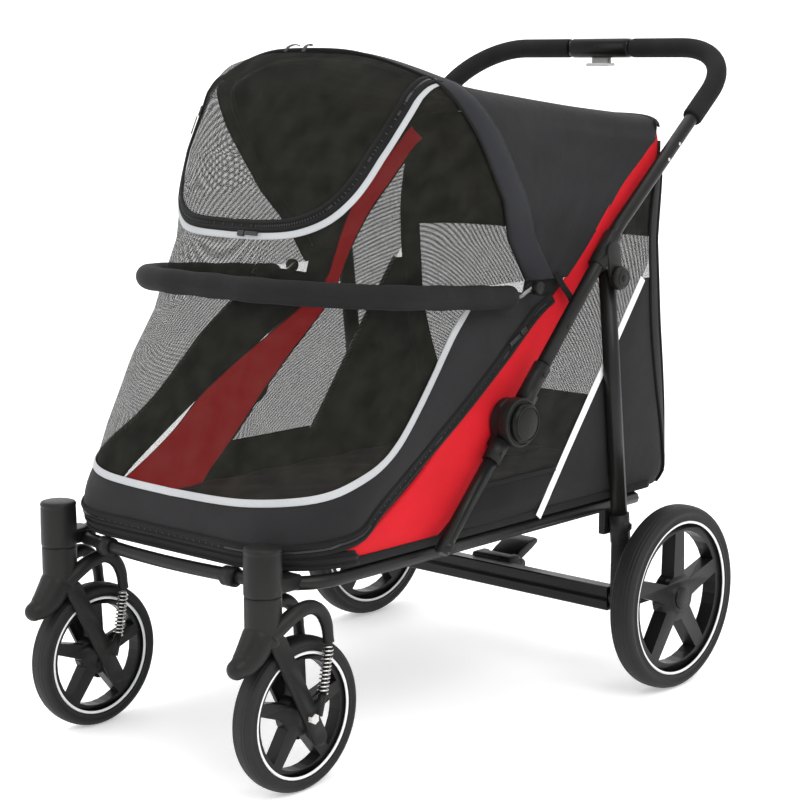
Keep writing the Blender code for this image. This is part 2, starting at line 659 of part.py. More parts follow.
def cabin_section(z, inset):
    """One level outline of the cabin, from the middle of the rear round the left side."""
    y0 = between(FRONT_LINE, z) + inset
    y1 = between(REAR_LINE, z) - inset
    nose = between(NOSE_HALF, z) - inset
    tail_half = between(TAIL_HALF, z) - inset
    r0 = between(NOSE_ROUND, z) - inset
    r1 = between(TAIL_ROUND, z) - inset
    half = [(0.0, y1), (tail_half * 0.45, y1)]
    for k in range(5):
        t = pi / 2.0 * (1.0 - k / 4.0)
        half.append((tail_half - r1 + r1 * cos(t), y1 - r1 + r1 * sin(t)))
    for y, share in ((0.200, 0.0), (0.120, 0.6), (0.060, 1.0), (0.040, 1.0)):
        half.append((tail_half + (nose - tail_half) * share, y))
    for k in range(9):
        t = -pi / 2.0 * k / 8.0
        half.append((nose - r0 + r0 * cos(t), y0 + r0 + r0 * sin(t)))
    half.append((0.0, y0))
    other = [(-x, y) for x, y in reversed(half[1:-1])]
    return [(x, y, z) for x, y in half + other]


def loft_mesh(sections):
    """A closed skin through level outlines that have the same number of points."""
    mesh = bpy.data.meshes.new("loft")
    bm = bmesh.new()
    rings = [[bm.verts.new(p) for p in section] for section in sections]
    count = len(rings[0])
    for low, high in zip(rings, rings[1:]):
        for k in range(count):
            bm.faces.new((low[k], low[(k + 1) % count], high[(k + 1) % count], high[k]))
    bm.faces.new(list(reversed(rings[0])))
    bm.faces.new(rings[-1])
    bmesh.ops.recalc_face_normals(bm, faces=bm.faces)
    bm.to_mesh(mesh)
    bm.free()
    return mesh


def roof_height(x, y):
    """The canopy's top: a round arch over the bow that flattens and falls toward the rear edge."""
    back = min(max((y - BOW_CROWN[0]) / ROOF_LENGTH, 0.0), 1.0)
    crown = ROOF_TOP - 0.104 * back
    sag = 0.016 * 4.0 * back * (1.0 - back) * (1.0 - (x / 0.250) ** 2)
    return crown - (0.04 + (1.0 - back) ** 2) * x * x - sag


def roof_mesh(drop):
    """Everything under the roof, as a stack of arched outlines from the front to the rear."""
    sections = []
    for j in range(11):
        y = -0.400 + 0.090 * j
        outline = [(0.400, y, -0.500), (-0.400, y, -0.500)]
        for k in range(15):
            x = -0.400 + 0.800 * k / 14.0
            outline.append((x, y, roof_height(x, y) - drop))
        sections.append(outline)
    return loft_mesh(sections)


LEVELS = [0.3045, 0.320, 0.337, 0.450, 0.550, 0.615, 0.650, 0.718, 0.775, 0.850, 0.922, 0.968, 0.989, 1.060]
outer_skin = combine(
    loft_mesh([cabin_section(z, 0.0) for z in LEVELS]), [roof_mesh(0.0)], "INTERSECT"
)
inner_levels = [LEVELS[0] + CLOTH] + LEVELS[1:]
inner_skin = combine(
    loft_mesh([cabin_section(z, CLOTH) for z in inner_levels]), [roof_mesh(CLOTH)], "INTERSECT"
)


def half_space(point, normal):
    """A large block whose one face lies on a plane, for keeping what is on the normal's side."""
    block = box_mesh((-1.5, 1.5), (-1.5, 1.5), (0.0, 3.0))
    turn = Vector(normal).to_track_quat("Z", "Y").to_matrix().to_4x4()
    block.transform(Matrix.Translation(point) @ turn)
    return block


bow_way = Vector((0.0, BOW_CROWN[0] - BOW_FOOT[0], BOW_CROWN[1] - BOW_FOOT[1])).normalized()
forward = Vector((0.0, -bow_way.z, bow_way.y))
bow_foot = Vector((0.0, *BOW_FOOT))
up = Vector((0.0, 0.0, 1.0))
split = Vector((0.0, 0.0, CABIN_SPLIT))


def skin_part(*planes):
    """The part of the cabin's skin that lies on the kept side of every plane."""
    solid = outer_skin.copy()
    for point, normal in planes:
        solid = combine(solid, [half_space(point, normal)], "INTERSECT")
    return cut_by(solid, inner_skin.copy())


link("cabin_body", skin_part((split, -up)), CHARCOAL)
link("mesh_hood", skin_part((split + up * 0.0006, up), (bow_foot + forward * 0.0006, forward)), MESH_CLOTH)
link("canopy", skin_part((split + up * 0.0006, up), (bow_foot, -forward)), CHARCOAL)

pad_outline = [cabin_section(0.3045 + CLOTH + 0.0004, 0.012), cabin_section(0.330, 0.012)]
pad_low = [(x, y, 0.3045 + CLOTH + 0.0004) for x, y, z in pad_outline[0]]
pad_high = [(x, y, 0.330) for x, y, z in pad_outline[1]]
link("floor_pad", loft_mesh([pad_low, pad_high]), PAD_CLOTH)


def bow_path(inset):
    """The canopy's bow: up one side in its leaning plane, over the crown and down."""
    path = []
    for k in range(17):
        t = pi * (k / 16.0 - 0.5)
        across = 1.0 if t > 0 else -1.0
        x = across * (0.2220 - inset) * abs(sin(t)) ** 0.42
        rise_by = (0.4033 - inset - 1.1 * x * x - 0.014) * abs(cos(t)) ** 0.62
        path.append(bow_foot + bow_way * max(rise_by, 0.004) - forward * 0.012 + Vector((x, 0.0, 0.0)))
    return path


canopy_bow = tube_mesh(bow_path(0.014), 0.004, 8)
link("canopy_bow", canopy_bow, BLACK_PAINT)

# ---------------------------------------------------------------- what moves together
fold = bodies("handle_frame", (0.0, HUB[0], HUB[1]))
hang(fold, handle_tube, console_part, trigger_part, *outer_parts, *hub_caps, *foam_parts, *brackets, *knobs)
carriage = bodies("rear_carriage", (0.0, LEG_PIVOT[0], LEG_PIVOT[1]))
hang(carriage, beam, brake_block, *legs, *wheel_brackets)
brake = bodies("brake", (0.0, 0.2840, 0.150))
hang(brake, brake_pedal)
bumper = bodies("bumper", (0.0, 0.0468, 0.6462))
hang(bumper, bumper_sleeve, *wires)
for n, (side_name, side) in enumerate(SIDES):
    rear_axle = bodies("rear_axle_" + side_name, (side * REAR_X, REAR_Y, REAR_R))
    hang(rear_axle, rear_tyres[n], rear_rims[n], rear_caps[n])
    stem = bodies("castor_" + side_name, (side * CASTOR_X, CASTOR_Y, 0.25))
    hang(stem, swivels[n], springs[n], springs[n + 2])
    swing = bodies("swing_" + side_name, (side * CASTOR_X, *ARM_PIVOT))
    hang(swing, forks[n], bolts[n])
    front_axle = bodies("front_axle_" + side_name, (side * CASTOR_X, FRONT_Y, FRONT_R))
    hang(front_axle, front_tyres[n], front_rims[n])
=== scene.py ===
# %% [markdown]
# A pet stroller, dressed over its fixed frame. The tubes, wheels, hubs and joints come from the packed
# model and never move here. This file adds what a sewing room and a paint shop would: fabric panels,
# netting, zips, piping, padding, springs, rivets and every finish.

# %% Load the frame
import json
from math import pi, radians
import bpy
import bmesh
import numpy as np
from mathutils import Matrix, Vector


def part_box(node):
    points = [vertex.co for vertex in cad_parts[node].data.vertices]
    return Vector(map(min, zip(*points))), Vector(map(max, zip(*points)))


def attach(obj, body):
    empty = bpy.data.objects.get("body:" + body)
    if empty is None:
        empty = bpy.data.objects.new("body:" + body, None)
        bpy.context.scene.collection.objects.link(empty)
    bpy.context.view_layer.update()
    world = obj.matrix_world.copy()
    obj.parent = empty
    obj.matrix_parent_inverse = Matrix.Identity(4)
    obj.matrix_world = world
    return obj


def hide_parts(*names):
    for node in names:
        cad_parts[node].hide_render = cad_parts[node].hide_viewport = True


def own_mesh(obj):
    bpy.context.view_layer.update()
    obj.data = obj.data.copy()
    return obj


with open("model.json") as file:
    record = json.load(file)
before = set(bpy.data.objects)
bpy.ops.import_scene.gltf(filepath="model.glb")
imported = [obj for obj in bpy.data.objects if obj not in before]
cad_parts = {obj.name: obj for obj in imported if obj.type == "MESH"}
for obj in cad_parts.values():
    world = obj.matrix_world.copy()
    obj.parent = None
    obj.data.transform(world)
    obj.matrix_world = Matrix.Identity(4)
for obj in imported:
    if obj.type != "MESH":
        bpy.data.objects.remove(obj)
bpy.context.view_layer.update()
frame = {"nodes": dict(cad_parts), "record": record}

# %% [markdown]
# The camera looks down a little from the front left of the stroller. Its place is a point in metres. Its
# turn is an azimuth about the vertical and a drop below level, which are easier to think in than a matrix.

# %% Camera
EYE = (2.0449, -2.2635, 0.972)
VIEW_AZIMUTH = 41.76
VIEW_DROP = 9.56
SENSOR_MM, LENS_MM = 36.0, 90.5
camera = bpy.data.objects.new("camera", bpy.data.cameras.new("camera"))
camera.data.sensor_width = SENSOR_MM
camera.data.lens = LENS_MM
camera.location = EYE
camera.rotation_euler = (radians(90.0 - VIEW_DROP), 0.0, radians(VIEW_AZIMUTH))
bpy.context.scene.collection.objects.link(camera)
bpy.context.scene.camera = camera
print("camera at", EYE)

# %% [markdown]
# A photographer's sweep: a floor that curves up into a wall, so that no horizon shows. Light comes from
# a pale sky and three large soft panels.


# %% Floor and lights
def mesh_object(name, points, faces, smooth=True):
    """A mesh object from arrays of points and faces."""
    mesh = bpy.data.meshes.new(name)
    mesh.from_pydata(np.asarray(points, float).reshape(-1, 3), [], np.asarray(faces).tolist())
    mesh.update()
    if smooth:
        mesh.shade_smooth()
    piece = bpy.data.objects.new(name, mesh)
    bpy.context.scene.collection.objects.link(piece)
    return piece


def grid_faces(m, n, wrap_m=False, wrap_n=False):
    """Quads of an m by n grid of points, closed round either way when asked."""
    i, j = np.meshgrid(np.arange(m if wrap_m else m - 1), np.arange(n if wrap_n else n - 1), indexing="ij")
    i2, j2 = (i + 1) % m, (j + 1) % n
    return np.stack([i * n + j, i2 * n + j, i2 * n + j2, i * n + j2], -1).reshape(-1, 4)


def studio_floor():
    """A strip swept along x: flat floor, a quarter circle of radius 2 m, then a wall."""
    turn = np.linspace(0.0, pi / 2.0, 17)
    y = np.concatenate([[-9.0, 0.0, 4.0], 6.0 + 2.0 * np.sin(turn), [8.0]])
    z = np.concatenate([[0.0, 0.0, 0.0], 2.0 - 2.0 * np.cos(turn), [9.0]])
    x = np.array([-14.0, 14.0])
    grid = np.stack(np.broadcast_arrays(x[:, None], y[None, :], z[None, :]), -1)
    away = np.array([-np.sin(radians(VIEW_AZIMUTH)), np.cos(radians(VIEW_AZIMUTH))])
    side = np.array([away[1], -away[0]])
    flat = grid[..., 0:1] * side + grid[..., 1:2] * away
    grid = np.concatenate([flat, grid[..., 2:3]], -1)
    return mesh_object("studio_floor", grid, grid_faces(2, len(y)))


def soft_light(name, place, target, size, power):
    """A square area lamp at a place, turned to face a target."""
    data = bpy.data.lights.new(name, "AREA")
    data.size = size
    data.energy = power
    lamp = bpy.data.objects.new(name, data)
    lamp.location = place
    aim = np.array(target) - np.array(place)
    lamp.rotation_euler = (
        np.arctan2(np.hypot(aim[0], aim[1]), -aim[2]),
        0.0,
        np.arctan2(aim[1], aim[0]) - pi / 2.0,
    )
    bpy.context.scene.collection.objects.link(lamp)


floor = studio_floor()
pale = bpy.data.materials.new("pale_floor")
pale.use_nodes = True
WHITE = (1.0, 1.0, 1.0, 1.0)
for label, value in (("Base Color", (0.95, 0.95, 0.95, 1.0)), ("Roughness", 0.9), ("Emission Color", WHITE),
                     ("Emission Strength", 0.35)):
    pale.node_tree.nodes["Principled BSDF"].inputs[label].default_value = value
floor.data.materials.append(pale)
STROLLER_MIDDLE = (0.0, 0.0, 0.5)
LAMPS = {"key_light": ((3.2, -1.2, 3.4), 2.2, 70.0), "front_light": ((-1.2, -3.6, 2.2), 2.4, 34.0),
         "top_light": ((-0.4, 0.6, 3.6), 2.6, 40.0)}
for lamp_name, (lamp_place, lamp_size, lamp_power) in LAMPS.items():
    soft_light(lamp_name, lamp_place, STROLLER_MIDDLE, lamp_size, lamp_power)
sky = bpy.data.worlds.new("studio_sky")
sky.use_nodes = True
sky.node_tree.nodes["Background"].inputs["Color"].default_value = WHITE
sky.node_tree.nodes["Background"].inputs["Strength"].default_value = 1.0
bpy.context.scene.world = sky
bpy.context.scene.view_settings.view_transform = "Standard"
print("floor and", len(LAMPS), "lamps")

# %% [markdown]
# Finishes. Cloth is a weave of threads, netting is thread with holes, tube paint has a faint orange peel,
# and moulded plastic has a fine grain. Each of those effects is one node group, built once, that gives
# out masks, shades and heights. The shader itself stays in each material, where its plain numbers are.


# %% Node group helpers
def new_group(name, inputs, outputs):
    """An empty shader node group with named number or vector inputs and number outputs."""
    group = bpy.data.node_groups.new(name, "ShaderNodeTree")
    for label, kind, value in inputs:
        socket = group.interface.new_socket(name=label, in_out="INPUT", socket_type="NodeSocket" + kind)
        if value is not None:
            socket.default_value = value
    for label in outputs:
        group.interface.new_socket(name=label, in_out="OUTPUT", socket_type="NodeSocketFloat")
    return group, group.nodes.new("NodeGroupInput"), group.nodes.new("NodeGroupOutput")


def plug(tree, value, socket):
    """Joins another socket to this one, or writes a plain number in it."""
    if hasattr(value, "is_output"):
        tree.links.new(value, socket)
    else:
        socket.default_value = value


def maths(tree, kind, a, b=0.0, c=0.0):
    """One math node, given its inputs; gives back its result socket."""
    node = tree.nodes.new("ShaderNodeMath")
    node.operation = kind
    for value, socket in zip((a, b, c), node.inputs):
        plug(tree, value, socket)
    return node.outputs[0]


def noise(tree, vector, scale, detail=2.0, roughness=0.5):
    """One noise texture; gives back its value."""
    node = tree.nodes.new("ShaderNodeTexNoise")
    node.inputs["Detail"].default_value = detail
    node.inputs["Roughness"].default_value = roughness
    plug(tree, vector, node.inputs["Vector"])
    plug(tree, scale, node.inputs["Scale"])
    return node.outputs["Fac"]


# %% The weave group
def build_weave():
    """Plain weave on UVs in metres: sin(2 pi u / pitch) times sin(2 pi v / pitch) is the thread height,
    and two noises add slubs in the yarn and soft cloudy patches."""
    group, given, out = new_group(
        "woven_cloth", [("UV", "Vector", None), ("Pitch", "Float", 0.0014), ("Soft", "Float", 9.0)],
        ["Shade", "Height", "Patch"]
    )
    split = group.nodes.new("ShaderNodeSeparateXYZ")
    group.links.new(given.outputs["UV"], split.inputs[0])
    turns = maths(group, "DIVIDE", 2.0 * pi, given.outputs["Pitch"])
    wave_u = maths(group, "SINE", maths(group, "MULTIPLY", split.outputs[0], turns))
    wave_v = maths(group, "SINE", maths(group, "MULTIPLY", split.outputs[1], turns))
    over = maths(group, "MULTIPLY", wave_u, wave_v)
    slub = noise(group, given.outputs["UV"], 420.0, 3.0, 0.7)
    patch = noise(group, given.outputs["UV"], given.outputs["Soft"], 3.0, 0.55)
    height = maths(group, "MULTIPLY_ADD", over, 0.35, slub)
    shade = maths(group, "MULTIPLY_ADD", over, 0.18, slub)
    group.links.new(shade, out.inputs["Shade"])
    group.links.new(height, out.inputs["Height"])
    group.links.new(patch, out.inputs["Patch"])
    return group


WEAVE = build_weave()


# %% The netting group
def build_netting():
    """Knitted net on UVs in metres: holes are round spots on a grid whose every second row is moved by half
    a pitch. The mask is 1 on thread and 0 in a hole."""
    group, given, out = new_group(
        "knitted_net", [("UV", "Vector", None), ("Pitch", "Float", 0.0012), ("Hole", "Float", 0.36)],
        ["Mask", "Height"]
    )
    split = group.nodes.new("ShaderNodeSeparateXYZ")
    group.links.new(given.outputs["UV"], split.inputs[0])
    row = maths(group, "DIVIDE", split.outputs[1], given.outputs["Pitch"])
    shift = maths(group, "MULTIPLY", maths(group, "MODULO", maths(group, "FLOOR", row), 2.0), 0.5)
    column = maths(group, "ADD", maths(group, "DIVIDE", split.outputs[0], given.outputs["Pitch"]), shift)
    across = maths(group, "SUBTRACT", maths(group, "FRACT", column), 0.5)
    along = maths(group, "SUBTRACT", maths(group, "FRACT", row), 0.5)
    reach = maths(group, "SQRT", maths(group, "ADD", maths(group, "MULTIPLY", across, across),
                                       maths(group, "MULTIPLY", along, along)))
    group.links.new(maths(group, "GREATER_THAN", reach, given.outputs["Hole"]), out.inputs["Mask"])
    group.links.new(reach, out.inputs["Height"])
    return group


NETTING = build_netting()


# %% The grain group
def build_grain():
    """Moulded grain on object coordinates: fine noise for the texture, coarse noise for handling marks."""
    group, given, out = new_group(
        "moulded_grain", [("Vector", "Vector", None), ("Fine", "Float", 900.0), ("Coarse", "Float", 14.0)],
        ["Height", "Tone", "Marks"]
    )
    fine = noise(group, given.outputs["Vector"], given.outputs["Fine"], 2.0, 0.6)
    tone = noise(group, given.outputs["Vector"], given.outputs["Coarse"], 4.0, 0.6)
    streak = noise(group, given.outputs["Vector"], 60.0, 6.0, 0.75)
    marks = maths(group, "POWER", streak, 3.0)
    group.links.new(fine, out.inputs["Height"])
    group.links.new(tone, out.inputs["Tone"])
    group.links.new(marks, out.inputs["Marks"])
    return group


GRAIN = build_grain()
print("node groups:", [g.name for g in bpy.data.node_groups])


# %% Material makers
def start_material(name, rough, **plain):
    """A Principled material with its plain numbers set on the shader's own sockets."""
    material = bpy.data.materials.new(name)
    material.use_nodes = True
    shader = material.node_tree.nodes["Principled BSDF"]
    shader.inputs["Roughness"].default_value = rough
    for label, value in plain.items():
        shader.inputs[label.replace("_", " ")].default_value = value
    return material, material.node_tree, shader


def use_group(tree, group, **values):
    """Places a node group, with the given numbers on its inputs."""
    node = tree.nodes.new("ShaderNodeGroup")
    node.node_tree = group
    for label, value in values.items():
        node.inputs[label].default_value = value
    return node


def two_colours(tree, factor, low, high, shader):
    """Base Color goes from one colour to another as the factor goes from 0.3 to 0.7."""
    ramp = tree.nodes.new("ShaderNodeValToRGB")
    ramp.color_ramp.elements[0].position = 0.30
    ramp.color_ramp.elements[1].position = 0.70
    ramp.color_ramp.elements[0].color = (*low, 1.0)
    ramp.color_ramp.elements[1].color = (*high, 1.0)
    tree.links.new(factor, ramp.inputs[0])
    tree.links.new(ramp.outputs[0], shader.inputs["Base Color"])


def bump(tree, height, strength, distance, shader, under=None):
    """A Bump node from a height to the shader's Normal; gives back its normal for another on top."""
    node = tree.nodes.new("ShaderNodeBump")
    node.inputs["Strength"].default_value = strength
    node.inputs["Distance"].default_value = distance
    tree.links.new(height, node.inputs["Height"])
    if under is not None:
        tree.links.new(under, node.inputs["Normal"])
    tree.links.new(node.outputs[0], shader.inputs["Normal"])
    return node.outputs[0]


def cloth(name, low, high, rough=0.85, pitch=0.0014, wrinkle=0.5, sheen=0.06, painted_light=0.0):
    """Woven polyester: thread shading, cloudy patches and a soft crumple. A thin bright cloth can also get a
    painted glow: an emission in its light colour that stands in for the light that comes through it."""
    # The emission is painted light: a glow in the cloth's light colour, not a lamp.
    material, tree, shader = start_material(name, rough, Sheen_Weight=sheen, Sheen_Roughness=0.5,
                                            Specular_IOR_Level=0.18, Emission_Color=(*high, 1.0),
                                            Emission_Strength=painted_light)
    where = tree.nodes.new("ShaderNodeTexCoord").outputs["UV"]
    weave = use_group(tree, WEAVE, Pitch=pitch)
    tree.links.new(where, weave.inputs["UV"])
    tone = maths(tree, "ADD", maths(tree, "MULTIPLY", weave.outputs["Shade"], 0.45),
                 maths(tree, "MULTIPLY", weave.outputs["Patch"], 0.55))
    two_colours(tree, tone, low, high, shader)
    crumple = noise(tree, where, 22.0, 3.0, 0.5)
    normal = bump(tree, crumple, wrinkle, 0.004, shader)
    bump(tree, weave.outputs["Height"], 0.25, 0.0003, shader, normal)
    return material


def net(name, low, high, pitch=0.0012, hole=0.365, rough=0.9):
    """Netting: the group's mask is the alpha, and the thread is rounded by its height."""
    material, tree, shader = start_material(name, rough, Specular_IOR_Level=0.05)
    where = tree.nodes.new("ShaderNodeTexCoord").outputs["UV"]
    mesh = use_group(tree, NETTING, Pitch=pitch, Hole=hole)
    tree.links.new(where, mesh.inputs["UV"])
    two_colours(tree, noise(tree, where, 30.0), low, high, shader)
    tree.links.new(mesh.outputs["Mask"], shader.inputs["Alpha"])
    bump(tree, mesh.outputs["Height"], 0.3, 0.0006, shader)
    return material


def moulded(name, low, high, rough, fine=900.0, depth=0.0002, strength=0.3, spread=0.12, **plain):
    """Plastic, paint, rubber or metal: grain in the surface, marks in the gloss."""
    material, tree, shader = start_material(name, rough, **plain)
    where = tree.nodes.new("ShaderNodeTexCoord").outputs["Object"]
    grain = use_group(tree, GRAIN, Fine=fine)
    tree.links.new(where, grain.inputs["Vector"])
    two_colours(tree, grain.outputs["Tone"], low, high, shader)
    gloss = maths(tree, "MULTIPLY_ADD", grain.outputs["Marks"], spread, rough)
    tree.links.new(gloss, shader.inputs["Roughness"])
    bump(tree, grain.outputs["Height"], strength, depth, shader)
    return material


# %% All the finishes
PAINT = moulded("satin_black_paint", (0.006, 0.006, 0.0057), (0.010, 0.010, 0.0095), 0.34, 1500.0, 0.0001, 0.15,
                0.25, Specular_IOR_Level=0.22)
PLASTIC = moulded("black_moulding", (0.007, 0.007, 0.0067), (0.012, 0.012, 0.0114), 0.42, 1100.0, 0.0002, 0.35, 0.2,
                  Specular_IOR_Level=0.20)
RIM_PLASTIC = moulded("rim_moulding", (0.005, 0.005, 0.005), (0.009, 0.009, 0.009), 0.36, 1300.0, 0.0001, 0.2, 0.2,
                      Specular_IOR_Level=0.20)
GLOSS = moulded("gloss_moulding", (0.004, 0.004, 0.0037), (0.007, 0.007, 0.0063), 0.26, 300.0, 0.00005, 0.1, 0.3,
                Specular_IOR_Level=0.14)
GREY = moulded("trigger_grey", (0.42, 0.43, 0.42), (0.52, 0.53, 0.52), 0.42)
RUBBER = moulded("tyre_rubber", (0.007, 0.007, 0.007), (0.012, 0.012, 0.0117), 0.58, 500.0, 0.0004, 0.4, 0.2,
                 Specular_IOR_Level=0.28)
FOAM = moulded("grip_foam", (0.008, 0.008, 0.008), (0.014, 0.014, 0.014), 0.88, 700.0, 0.0006, 0.8, 0.05,
               Specular_IOR_Level=0.15)
STEEL = moulded("bright_steel", (0.52, 0.51, 0.49), (0.68, 0.67, 0.65), 0.22, 500.0, 0.00005, 0.2, 0.3,
                Metallic=1.0)
WIRE_STEEL = moulded("wire_steel", (0.16, 0.16, 0.15), (0.26, 0.26, 0.245), 0.30, 500.0, 0.00005, 0.2, 0.3,
                     Metallic=1.0)
RING_WHITE = moulded("ring_white", (0.74, 0.75, 0.76), (0.84, 0.85, 0.86), 0.40, 700.0, 0.0001, 0.2, 0.2)
CHARCOAL = cloth("charcoal_canvas", (0.011, 0.011, 0.012), (0.021, 0.021, 0.0225), sheen=0.03)
HEM_CLOTH = cloth("slate_band", (0.014, 0.0144, 0.0170), (0.024, 0.0245, 0.029), 0.8, sheen=0.03)
BAR_CLOTH = cloth("bumper_canvas", (0.007, 0.007, 0.0076), (0.013, 0.013, 0.014), sheen=0.02)
DARK = cloth("binding_black", (0.005, 0.005, 0.005), (0.012, 0.012, 0.012), 0.9, 0.0018, 0.2, 0.04)
# The red canvas carries a faint painted glow: a small emission for light coming through the cloth.
RED = cloth("red_canvas", (0.40, 0.005, 0.010), (0.54, 0.010, 0.018), 0.8, 0.0014, 0.45, 0.0, 0.06)
# A red sheet whose emission is painted glow, standing in for daylight through the wedge seen from inside.
RED_PAINTED_GLOW = cloth("red_glow_sheet", (0.42, 0.005, 0.009), (0.55, 0.008, 0.014), 0.9, 0.0014, 0.3, 0.0, 0.55)
PAD_CLOTH = cloth("pad_fleece", (0.007, 0.007, 0.0075), (0.018, 0.018, 0.019), 0.95, 0.0022, 0.7, 0.15)
PIPING = cloth("reflective_piping", (0.36, 0.37, 0.38), (0.45, 0.46, 0.47), 0.5, 0.0010, 0.1, 0.0)
WHITE_TAPE = cloth("white_piping", (0.80, 0.80, 0.80), (0.95, 0.95, 0.95), 0.6, 0.0010, 0.1, 0.0)
NET_DARK = net("black_net", (0.014, 0.014, 0.012), (0.026, 0.026, 0.022), 0.0012, 0.348)
NET_SIDE = net("window_net", (0.018, 0.018, 0.017), (0.032, 0.032, 0.030), 0.0012, 0.335)
ZIP = moulded("zip_nylon", (0.006, 0.006, 0.006), (0.014, 0.014, 0.014), 0.42, 700.0, 0.0003, 0.4, 0.2)
THREAD = moulded("stitch_thread", (0.012, 0.012, 0.013), (0.022, 0.022, 0.024), 0.8)
print("finishes:", len(bpy.data.materials))

# %% [markdown]
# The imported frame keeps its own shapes. Each solid only gets a finish, by what it is made of. The soft
# solids and the plain springs and tyres are left for the pieces below to stand in for.

# %% Finishes on the frame
FINISH_OF = {
    "frame_paint": PAINT, "black_plastic": PLASTIC, "rim_plastic": RIM_PLASTIC, "gloss_plastic": GLOSS,
    "grey_plastic": GREY, "tyre_rubber": RUBBER, "foam": FOAM, "bright_steel": STEEL,
    "charcoal_fabric": CHARCOAL, "mesh_fabric": NET_DARK, "pad_fabric": PAD_CLOTH,
}
slot_of = {part["node"]: part["material_slot"] for part in frame["record"]["subparts"]}
body_of = {node: body for body, nodes in frame["record"]["behaviour"]["bodies"].items() for node in nodes}
for node_name, solid in frame["nodes"].items():
    finish = FINISH_OF.get(slot_of.get(node_name, ""), PLASTIC)
    if not solid.material_slots:
        solid.data.materials.append(finish)
    for holder in solid.material_slots:
        holder.material = finish
print("finished", len(frame["nodes"]), "solids;", len(set(slot_of.values())), "slots")

# %% [markdown]
# Fabric needs a map of the cabin's skin. Going round the cabin, `s` is the distance along a level line
# from the middle of the front, positive to the left-hand side. Going up, `z` is the height. A small
# table for each edge of the cabin says where it lies at each height, and everything sewn on is drawn in
# (s, z), the way a pattern cutter works on a flat sheet.

# %% The skin of the cabin
FRONT_LINE = [(0.3045, -0.450), (0.337, -0.461), (0.45, -0.424), (0.55, -0.389), (0.65, -0.352), (0.731, -0.325),
              (0.841, -0.285), (0.922, -0.245), (0.968, -0.205), (0.989, -0.167), (1.060, -0.060)]
REAR_LINE = [(0.3045, 0.425), (0.325, 0.443), (0.46, 0.428), (0.706, 0.403), (0.887, 0.357), (1.060, 0.300)]
NOSE_HALF = [(0.3045, 0.247), (0.337, 0.254), (0.45, 0.252), (0.55, 0.240), (0.615, 0.2220),
             (0.718, 0.2220), (0.775, 0.244), (0.850, 0.248), (1.060, 0.248)]
TAIL_HALF = [(0.3045, 0.247), (0.337, 0.254), (1.060, 0.256)]
NOSE_ROUND = [(0.3045, 0.120), (0.337, 0.130), (0.50, 0.150), (0.65, 0.165), (0.775, 0.195), (0.90, 0.200),
              (1.060, 0.180)]
TAIL_ROUND = [(0.3045, 0.095), (0.700, 0.095), (0.800, 0.050), (0.900, 0.035), (1.060, 0.035)]
TAPER = (0.060, 0.200)
FLOOR_Z = 0.3045
ROOF_TOP, ROOF_LENGTH = 0.991, 0.524
CROWN_Y = -0.167


def at(table, z):
    """A table read at heights z, straight between its rows."""
    rows = np.array(table)
    return np.interp(z, rows[:, 0], rows[:, 1])


def wrap(s, z):
    """Distance round the cabin and height to a point: straight across the front, an arc of the nose
    radius, a side that widens from nose half to tail half, an arc of the tail radius, then the back."""
    s, z = np.broadcast_arrays(np.asarray(s, float), np.asarray(z, float))
    side = np.where(s < 0, -1.0, 1.0)
    q = np.abs(s)
    y0, y1 = at(FRONT_LINE, z), at(REAR_LINE, z)
    nose, tail = at(NOSE_HALF, z), at(TAIL_HALF, z)
    r0, r1 = at(NOSE_ROUND, z), at(TAIL_ROUND, z)
    flat = nose - r0
    turn = np.clip((q - flat) / r0, 0.0, pi / 2.0)
    x = np.where(q < flat, q, flat + r0 * np.sin(turn))
    y = y0 + r0 - r0 * np.cos(turn)
    gone = np.maximum(q - flat - r0 * pi / 2.0, 0.0)
    run = y0 + r0 + gone
    share = np.clip((run - TAPER[0]) / (TAPER[1] - TAPER[0]), 0.0, 1.0)
    share = share * share * (3.0 - 2.0 * share)
    x = np.where(gone > 0, nose + (tail - nose) * share, x)
    y = np.where(gone > 0, np.minimum(run, y1 - r1), y)
    over = np.maximum(run - (y1 - r1), 0.0)
    bend = np.clip(over / r1, 0.0, pi / 2.0)
    back = (gone > 0) & (over > 0)
    x = np.where(back, tail - r1 + r1 * np.cos(bend) - np.maximum(over - r1 * pi / 2.0, 0.0), x)
    y = np.where(back, y1 - r1 + r1 * np.sin(bend), y)
    return np.stack([side * x, y, z], -1)


def roof(x, y):
    """Height of the canopy's top: a round arch at the bow that flattens toward the rear edge."""
    back = np.clip((y - CROWN_Y) / ROOF_LENGTH, 0.0, 1.0)
    sag = 0.016 * 4.0 * back * (1.0 - back) * (1.0 - (x / 0.25) ** 2)
    return ROOF_TOP - 0.104 * back - (0.04 + (1.0 - back) ** 2) * x * x - sag


def hood(s, z):
    """The skin again, bent over at the top: its height is the smooth lesser of z and the roof's."""
    p = wrap(s, z)
    top = roof(p[..., 0], p[..., 1])
    sharp = 130.0
    height = np.maximum(top, p[..., 2]) - 1.0
    lower = height + 1.0 - np.log(np.exp(sharp * (height + 1.0 - p[..., 2]))
                                  + np.exp(sharp * (height + 1.0 - top))) / sharp
    p[..., 2] = np.minimum(lower, p[..., 2])
    return p


def round_at(y, z):
    """Where a point of the side, given by y and height, lies along s."""
    y, z = np.asarray(y, float), np.asarray(z, float)
    y0, y1, nose = at(FRONT_LINE, z), at(REAR_LINE, z), at(NOSE_HALF, z)
    r0, r1 = at(NOSE_ROUND, z), at(TAIL_ROUND, z)
    arc = nose - r0 + r0 * np.arccos(np.clip(1.0 - (y - y0) / r0, -1.0, 1.0))
    side = nose - r0 + r0 * pi / 2.0 + y - y0 - r0
    rear = nose - r0 + r0 * pi / 2.0 + y1 - r1 - y0 - r0 + r1 * np.arcsin(np.clip((y - y1 + r1) / r1, -1.0, 1.0))
    return np.where(y < y0 + r0, arc, np.where(y < y1 - r1, side, rear))


